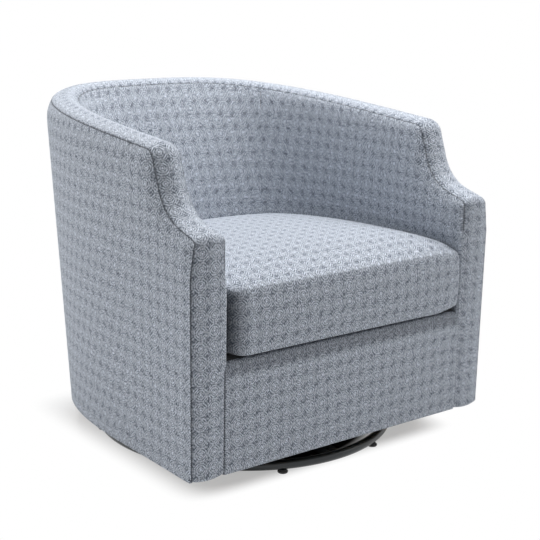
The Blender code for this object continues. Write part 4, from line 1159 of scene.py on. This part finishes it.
def cushion_mesh():
    """Closed mesh of the cushion. The weave runs straight over the top and its roll, and round the boxing.
    Its left side carries painted shade below its top, where it lies in the dark slot beside the post."""
    rings = cushion_rings()
    points, top, bottom, sides = boxed_faces(rings, CUSHION_CROWN)
    around = path_length(np.concatenate([cushion_ring, cushion_ring[:1]]))
    tall = path_length(np.array(cushion_section))
    weave = [points[top.ravel(), :2], points[bottom.ravel(), :2]]
    for level in range(len(sides)):
        if level < SEWN_RING:
            near, far = [cushion_ring + cushion_out * (tall[edge] - TOP_ROLL) for edge in (level, level + 1)]
            spots = np.stack([near, far, np.roll(far, -1, axis=0), np.roll(near, -1, axis=0)], axis=1)
        else:
            up, low = [np.full(len(cushion_ring), -tall[edge]) for edge in (level, level + 1)]
            spots = np.stack([np.column_stack([around[:-1], up]), np.column_stack([around[:-1], low]),
                              np.column_stack([around[1:], low]), np.column_stack([around[1:], up])], axis=1)
        weave.append(spots.reshape(-1, 2))
    mesh = bpy.data.meshes.new("box_cushion")
    mesh.from_pydata(points.tolist(), [], np.concatenate([top, bottom, *sides]).tolist())
    mesh.uv_layers.new(name="weave").data.foreach_set("uv", np.concatenate(weave).ravel())
    sewn_rings = [sides[level][:, 0] for level in (SEWN_RING, len(sides) - SEWN_RING)]
    # Painted shade: the left side's colour is darkened towards the post and most right beside it, but not on
    # the top.
    painted_crease_shade = 1 - np.clip((points[:, 0] - CREASE_START) / CREASE_REACH, 0.0, 1.0) ** 1.3
    painted_crease_shade += 0.17 * smooth_rise(-points[:, 0], POST_SIDE_FROM, POST_SIDE_TO)
    painted_crease_shade *= 1 - smooth_rise(points[:, 2], CREASE_END, CREASE_GONE)
    set_dark_seams_and_painted_shade(mesh, painted_crease_shade)
    return mesh, np.unique(sewn_rings).tolist(), top, bottom


def mesh_points(mesh):
    points = np.zeros(3 * len(mesh.vertices))
    mesh.vertices.foreach_get("co", points)
    return points.reshape(-1, 3)


def filled(mesh, sewn_edges, limits):
    """Presses a cushion's cloth out with its filling, held at its seams, each point only up to its limit."""
    start = mesh_points(mesh)
    holder = in_scene("cushion_filling", mesh)
    holder.vertex_groups.new(name="seams").add(sewn_edges, 1.0, "REPLACE")
    press = holder.modifiers.new("filling", "CLOTH")
    press.settings.quality = 6
    press.settings.mass = 0.3
    press.settings.vertex_group_mass = "seams"
    press.settings.use_pressure = True
    press.settings.uniform_pressure_force = FILLING_PRESSURE
    press.settings.effector_weights.gravity = 0.0
    press.point_cache.frame_start, press.point_cache.frame_end = 1, FILLING_STEPS
    for step in range(1, FILLING_STEPS + 1):
        bpy.context.scene.frame_set(step)
    pressed = mesh_points(holder.evaluated_get(bpy.context.evaluated_depsgraph_get()).data)
    bpy.data.objects.remove(holder)
    bpy.context.scene.frame_set(1)
    moved = pressed - start
    far = np.maximum(np.linalg.norm(moved, axis=1), 1e-9)
    mesh.vertices.foreach_set("co", (start + moved * (limits * np.tanh(far / limits) / far)[:, None]).ravel())


cushion_cloth, cushion_seams, cushion_top, cushion_bottom = cushion_mesh()
swelling = np.full(len(cushion_cloth.vertices), SIDE_SWELL)
swelling[np.unique(cushion_top)] = TOP_SWELL
swelling[np.unique(cushion_bottom)] = LOW_SWELL
filled(cushion_cloth, cushion_seams, swelling)
set_padded("box_cushion", modified(cushion_cloth, "SUBSURF", levels=1, render_levels=1), 0.8, "seat_cushion")

# Seam thread: polyester thread in the lockstitched seams along the edges of the bands.
# It lies at the bottom of each seam, where the cloth is pulled together, and its dark colour is partly
# painted shade of the seam's groove.
STITCH = 0.0036
STITCH_PITCH = 0.0045
STITCH_RADIUS = 0.0006
SEAM_DEPTH = 0.0013
seam_thread = Finish("seam_thread", {"Roughness": 0.5})
# Partly the thread's own colour and partly painted shade: the dark stitches also stand in for the shade in
# each seam's groove.
seam_thread.paint(seam_thread.speckle(2000.0), (0.030, 0.036, 0.050), (0.075, 0.088, 0.115))


def stitch_mesh():
    """One stitch along Z, a few faces round."""
    shape = bmesh.new()
    bmesh.ops.create_uvsphere(shape, u_segments=6, v_segments=4, radius=1.0)
    for corner in shape.verts:
        corner.co = (STITCH_RADIUS * corner.co.x, STITCH_RADIUS * corner.co.y, STITCH / 2 * corner.co.z)
    return shape_mesh("stitch", shape)


def seam_lines():
    """Lines of the seams along the bands' outer and inner edges."""
    lines = []
    for line, whole in ((POST_LINE, False), (BACK_LINE, True)):
        outer = on_wall(line, seam_inset(line.place[:, 2]) + SEAM_DEPTH, -SEAM_DROP - SEAM_DEPTH)
        inner = on_wall(line, wall_width(line) - SEAM_DEPTH, -INNER_DROP - SEAM_DEPTH)[seam_shown(line) > 0.5]
        for edge in (outer, inner):
            lines += [np.concatenate([mirrored(edge)[:0:-1], edge])] if whole else [edge, mirrored(edge)]
    return lines


set_along("seam_stitches", seam_lines(), stitch_mesh(), STITCH_PITCH, seam_thread, "seat", "upholstery")

# Studio: white floor and surround, two soft lights overhead, one from the left, a weak one from the right.
# Under the chair the floor carries a painted shadow, and away from it the floor shows an even white. The
# camera stands where the photograph was taken from.
# Rounded box of the floor's painted shadow, and the share of glow that lifts the shadow inside it.
SHADE_MIDDLE = -0.136
SHADE_AHEAD, SHADE_BEHIND, SHADE_ASIDE = 0.34, 0.62, 0.495
SHADE_SQUARENESS = 10.0
SHADE_LIGHT = 0.43
SURROUND_LIGHT = 0.12
floor_mesh = bpy.data.meshes.new("studio_floor")
floor_mesh.from_pydata([(-20, -20, 0), (20, -20, 0), (20, 20, 0), (-20, 20, 0)], [], [(0, 1, 2, 3)])
floor = in_scene("studio_floor", floor_mesh)


def seen(tree):
    """1 for what the camera or a reflection sees, 0 for what lights the chair."""
    path = tree.add("ShaderNodeLightPath")
    return path.math("MAXIMUM", path.out("Is Glossy Ray"))


white_floor = Finish("white_floor", {"Roughness": 0.9, "Specular IOR Level": 0.0})
floor_spot = white_floor.add("ShaderNodeTexCoord", output=3)
floor_x = white_floor.add("ShaderNodeSeparateXYZ", {}, {"Vector": floor_spot})
floor_y = floor_x.out(1)
# Painted shadow: the floor's white glow is held back in a rounded box round the chair, where the real shadow
# shows, lifted by part of the glow.
ahead_of_middle = (SHADE_MIDDLE - floor_y) / SHADE_AHEAD
along_floor = ahead_of_middle.math("MAXIMUM", (floor_y - SHADE_MIDDLE) / SHADE_BEHIND)
across_floor = abs(floor_x) / SHADE_ASIDE
footprint = across_floor.math("POWER", SHADE_SQUARENESS) + along_floor.math("POWER", SHADE_SQUARENESS)
past_painted_shadow = footprint.math("POWER", 1 / SHADE_SQUARENESS).between(0.65, 0.84)
# Painted shadow: inside the ring the floor's colour is painted nearly black, and it gets none of the glow.
from_pin = floor_x * floor_x + (floor_y - ring_middle.y) * (floor_y - ring_middle.y)
outside_ring = from_pin.math("SQRT").between(ring_radius - 0.058, ring_radius - 0.018)
white_floor.paint(outside_ring, (0.02, 0.02, 0.02), (0.9, 0.9, 0.9))
bare = past_painted_shadow + SHADE_LIGHT * outside_ring * (1 - past_painted_shadow)
glow = white_floor.add("ShaderNodeEmission", {}, {"Color": (1.0, 1.0, 1.0, 1.0), "Strength": 1.0})
matt = Socket(white_floor.tree, white_floor.shader.outputs[0])
white_floor.add("ShaderNodeMixShader", {}, {0: bare * seen(white_floor), 1: matt, 2: glow}).into(
    white_floor.tree.nodes["Material Output"].inputs["Surface"])
set_finish(floor_mesh, white_floor)

world = bpy.data.worlds.new("studio_surround")
bpy.context.scene.world = world
world.use_nodes = True
background = world.node_tree.nodes["Background"]
background.inputs["Color"].default_value = (1.0, 1.0, 1.0, 1.0)
(SURROUND_LIGHT + (1 - SURROUND_LIGHT) * seen(Socket(world.node_tree))).into(background.inputs["Strength"])

LAMP_AIM = Vector((0.0, 0.0, 0.4))


def soft_light(name, size, place, power):
    """A square lamp turned towards the seat."""
    lamp = bpy.data.lights.new(name, "AREA")
    lamp.size = size
    lamp.energy = power
    holder = in_scene(name, lamp)
    holder.location = place
    holder.rotation_euler = (LAMP_AIM - Vector(place)).to_track_quat("-Z", "Y").to_euler()


soft_light("overhead", 2.6, (0.4, 0.6, 3.0), 82.0)
soft_light("overhead_front", 2.0, (0.9, -0.9, 2.9), 45.0)
soft_light("left_side", 2.0, (-2.8, 1.5, 1.6), 47.0)
soft_light("right_front", 2.0, (2.6, -1.2, 2.0), 18.0)

YAW, PITCH_DOWN, ROLL = [math.radians(angle) for angle in (38.06, 13.97, 0.98)]
FOCAL_PIXELS, PHOTO_PIXELS = 1216.3, 540
CAMERA_PLACE = (-1.7256, -2.3549, 1.0968)
level_ahead = Vector((math.sin(YAW), math.cos(YAW), 0.0))
ahead = level_ahead * math.cos(PITCH_DOWN) + Vector((0.0, 0.0, -math.sin(PITCH_DOWN)))
level = Vector((math.cos(YAW), -math.sin(YAW), 0.0))
upward = level.cross(ahead)
right = level * math.cos(ROLL) + upward * math.sin(ROLL)
top = upward * math.cos(ROLL) - level * math.sin(ROLL)
lens = bpy.data.cameras.new("photograph_view")
lens.sensor_width = 36.0
lens.lens = FOCAL_PIXELS / PHOTO_PIXELS * lens.sensor_width
camera = in_scene("photograph_view", lens)
camera.matrix_world = Matrix.Translation(CAMERA_PLACE) @ Matrix((right, top, -ahead)).transposed().to_4x4()
bpy.context.scene.camera = camera
bpy.context.scene.view_settings.view_transform = "Standard"
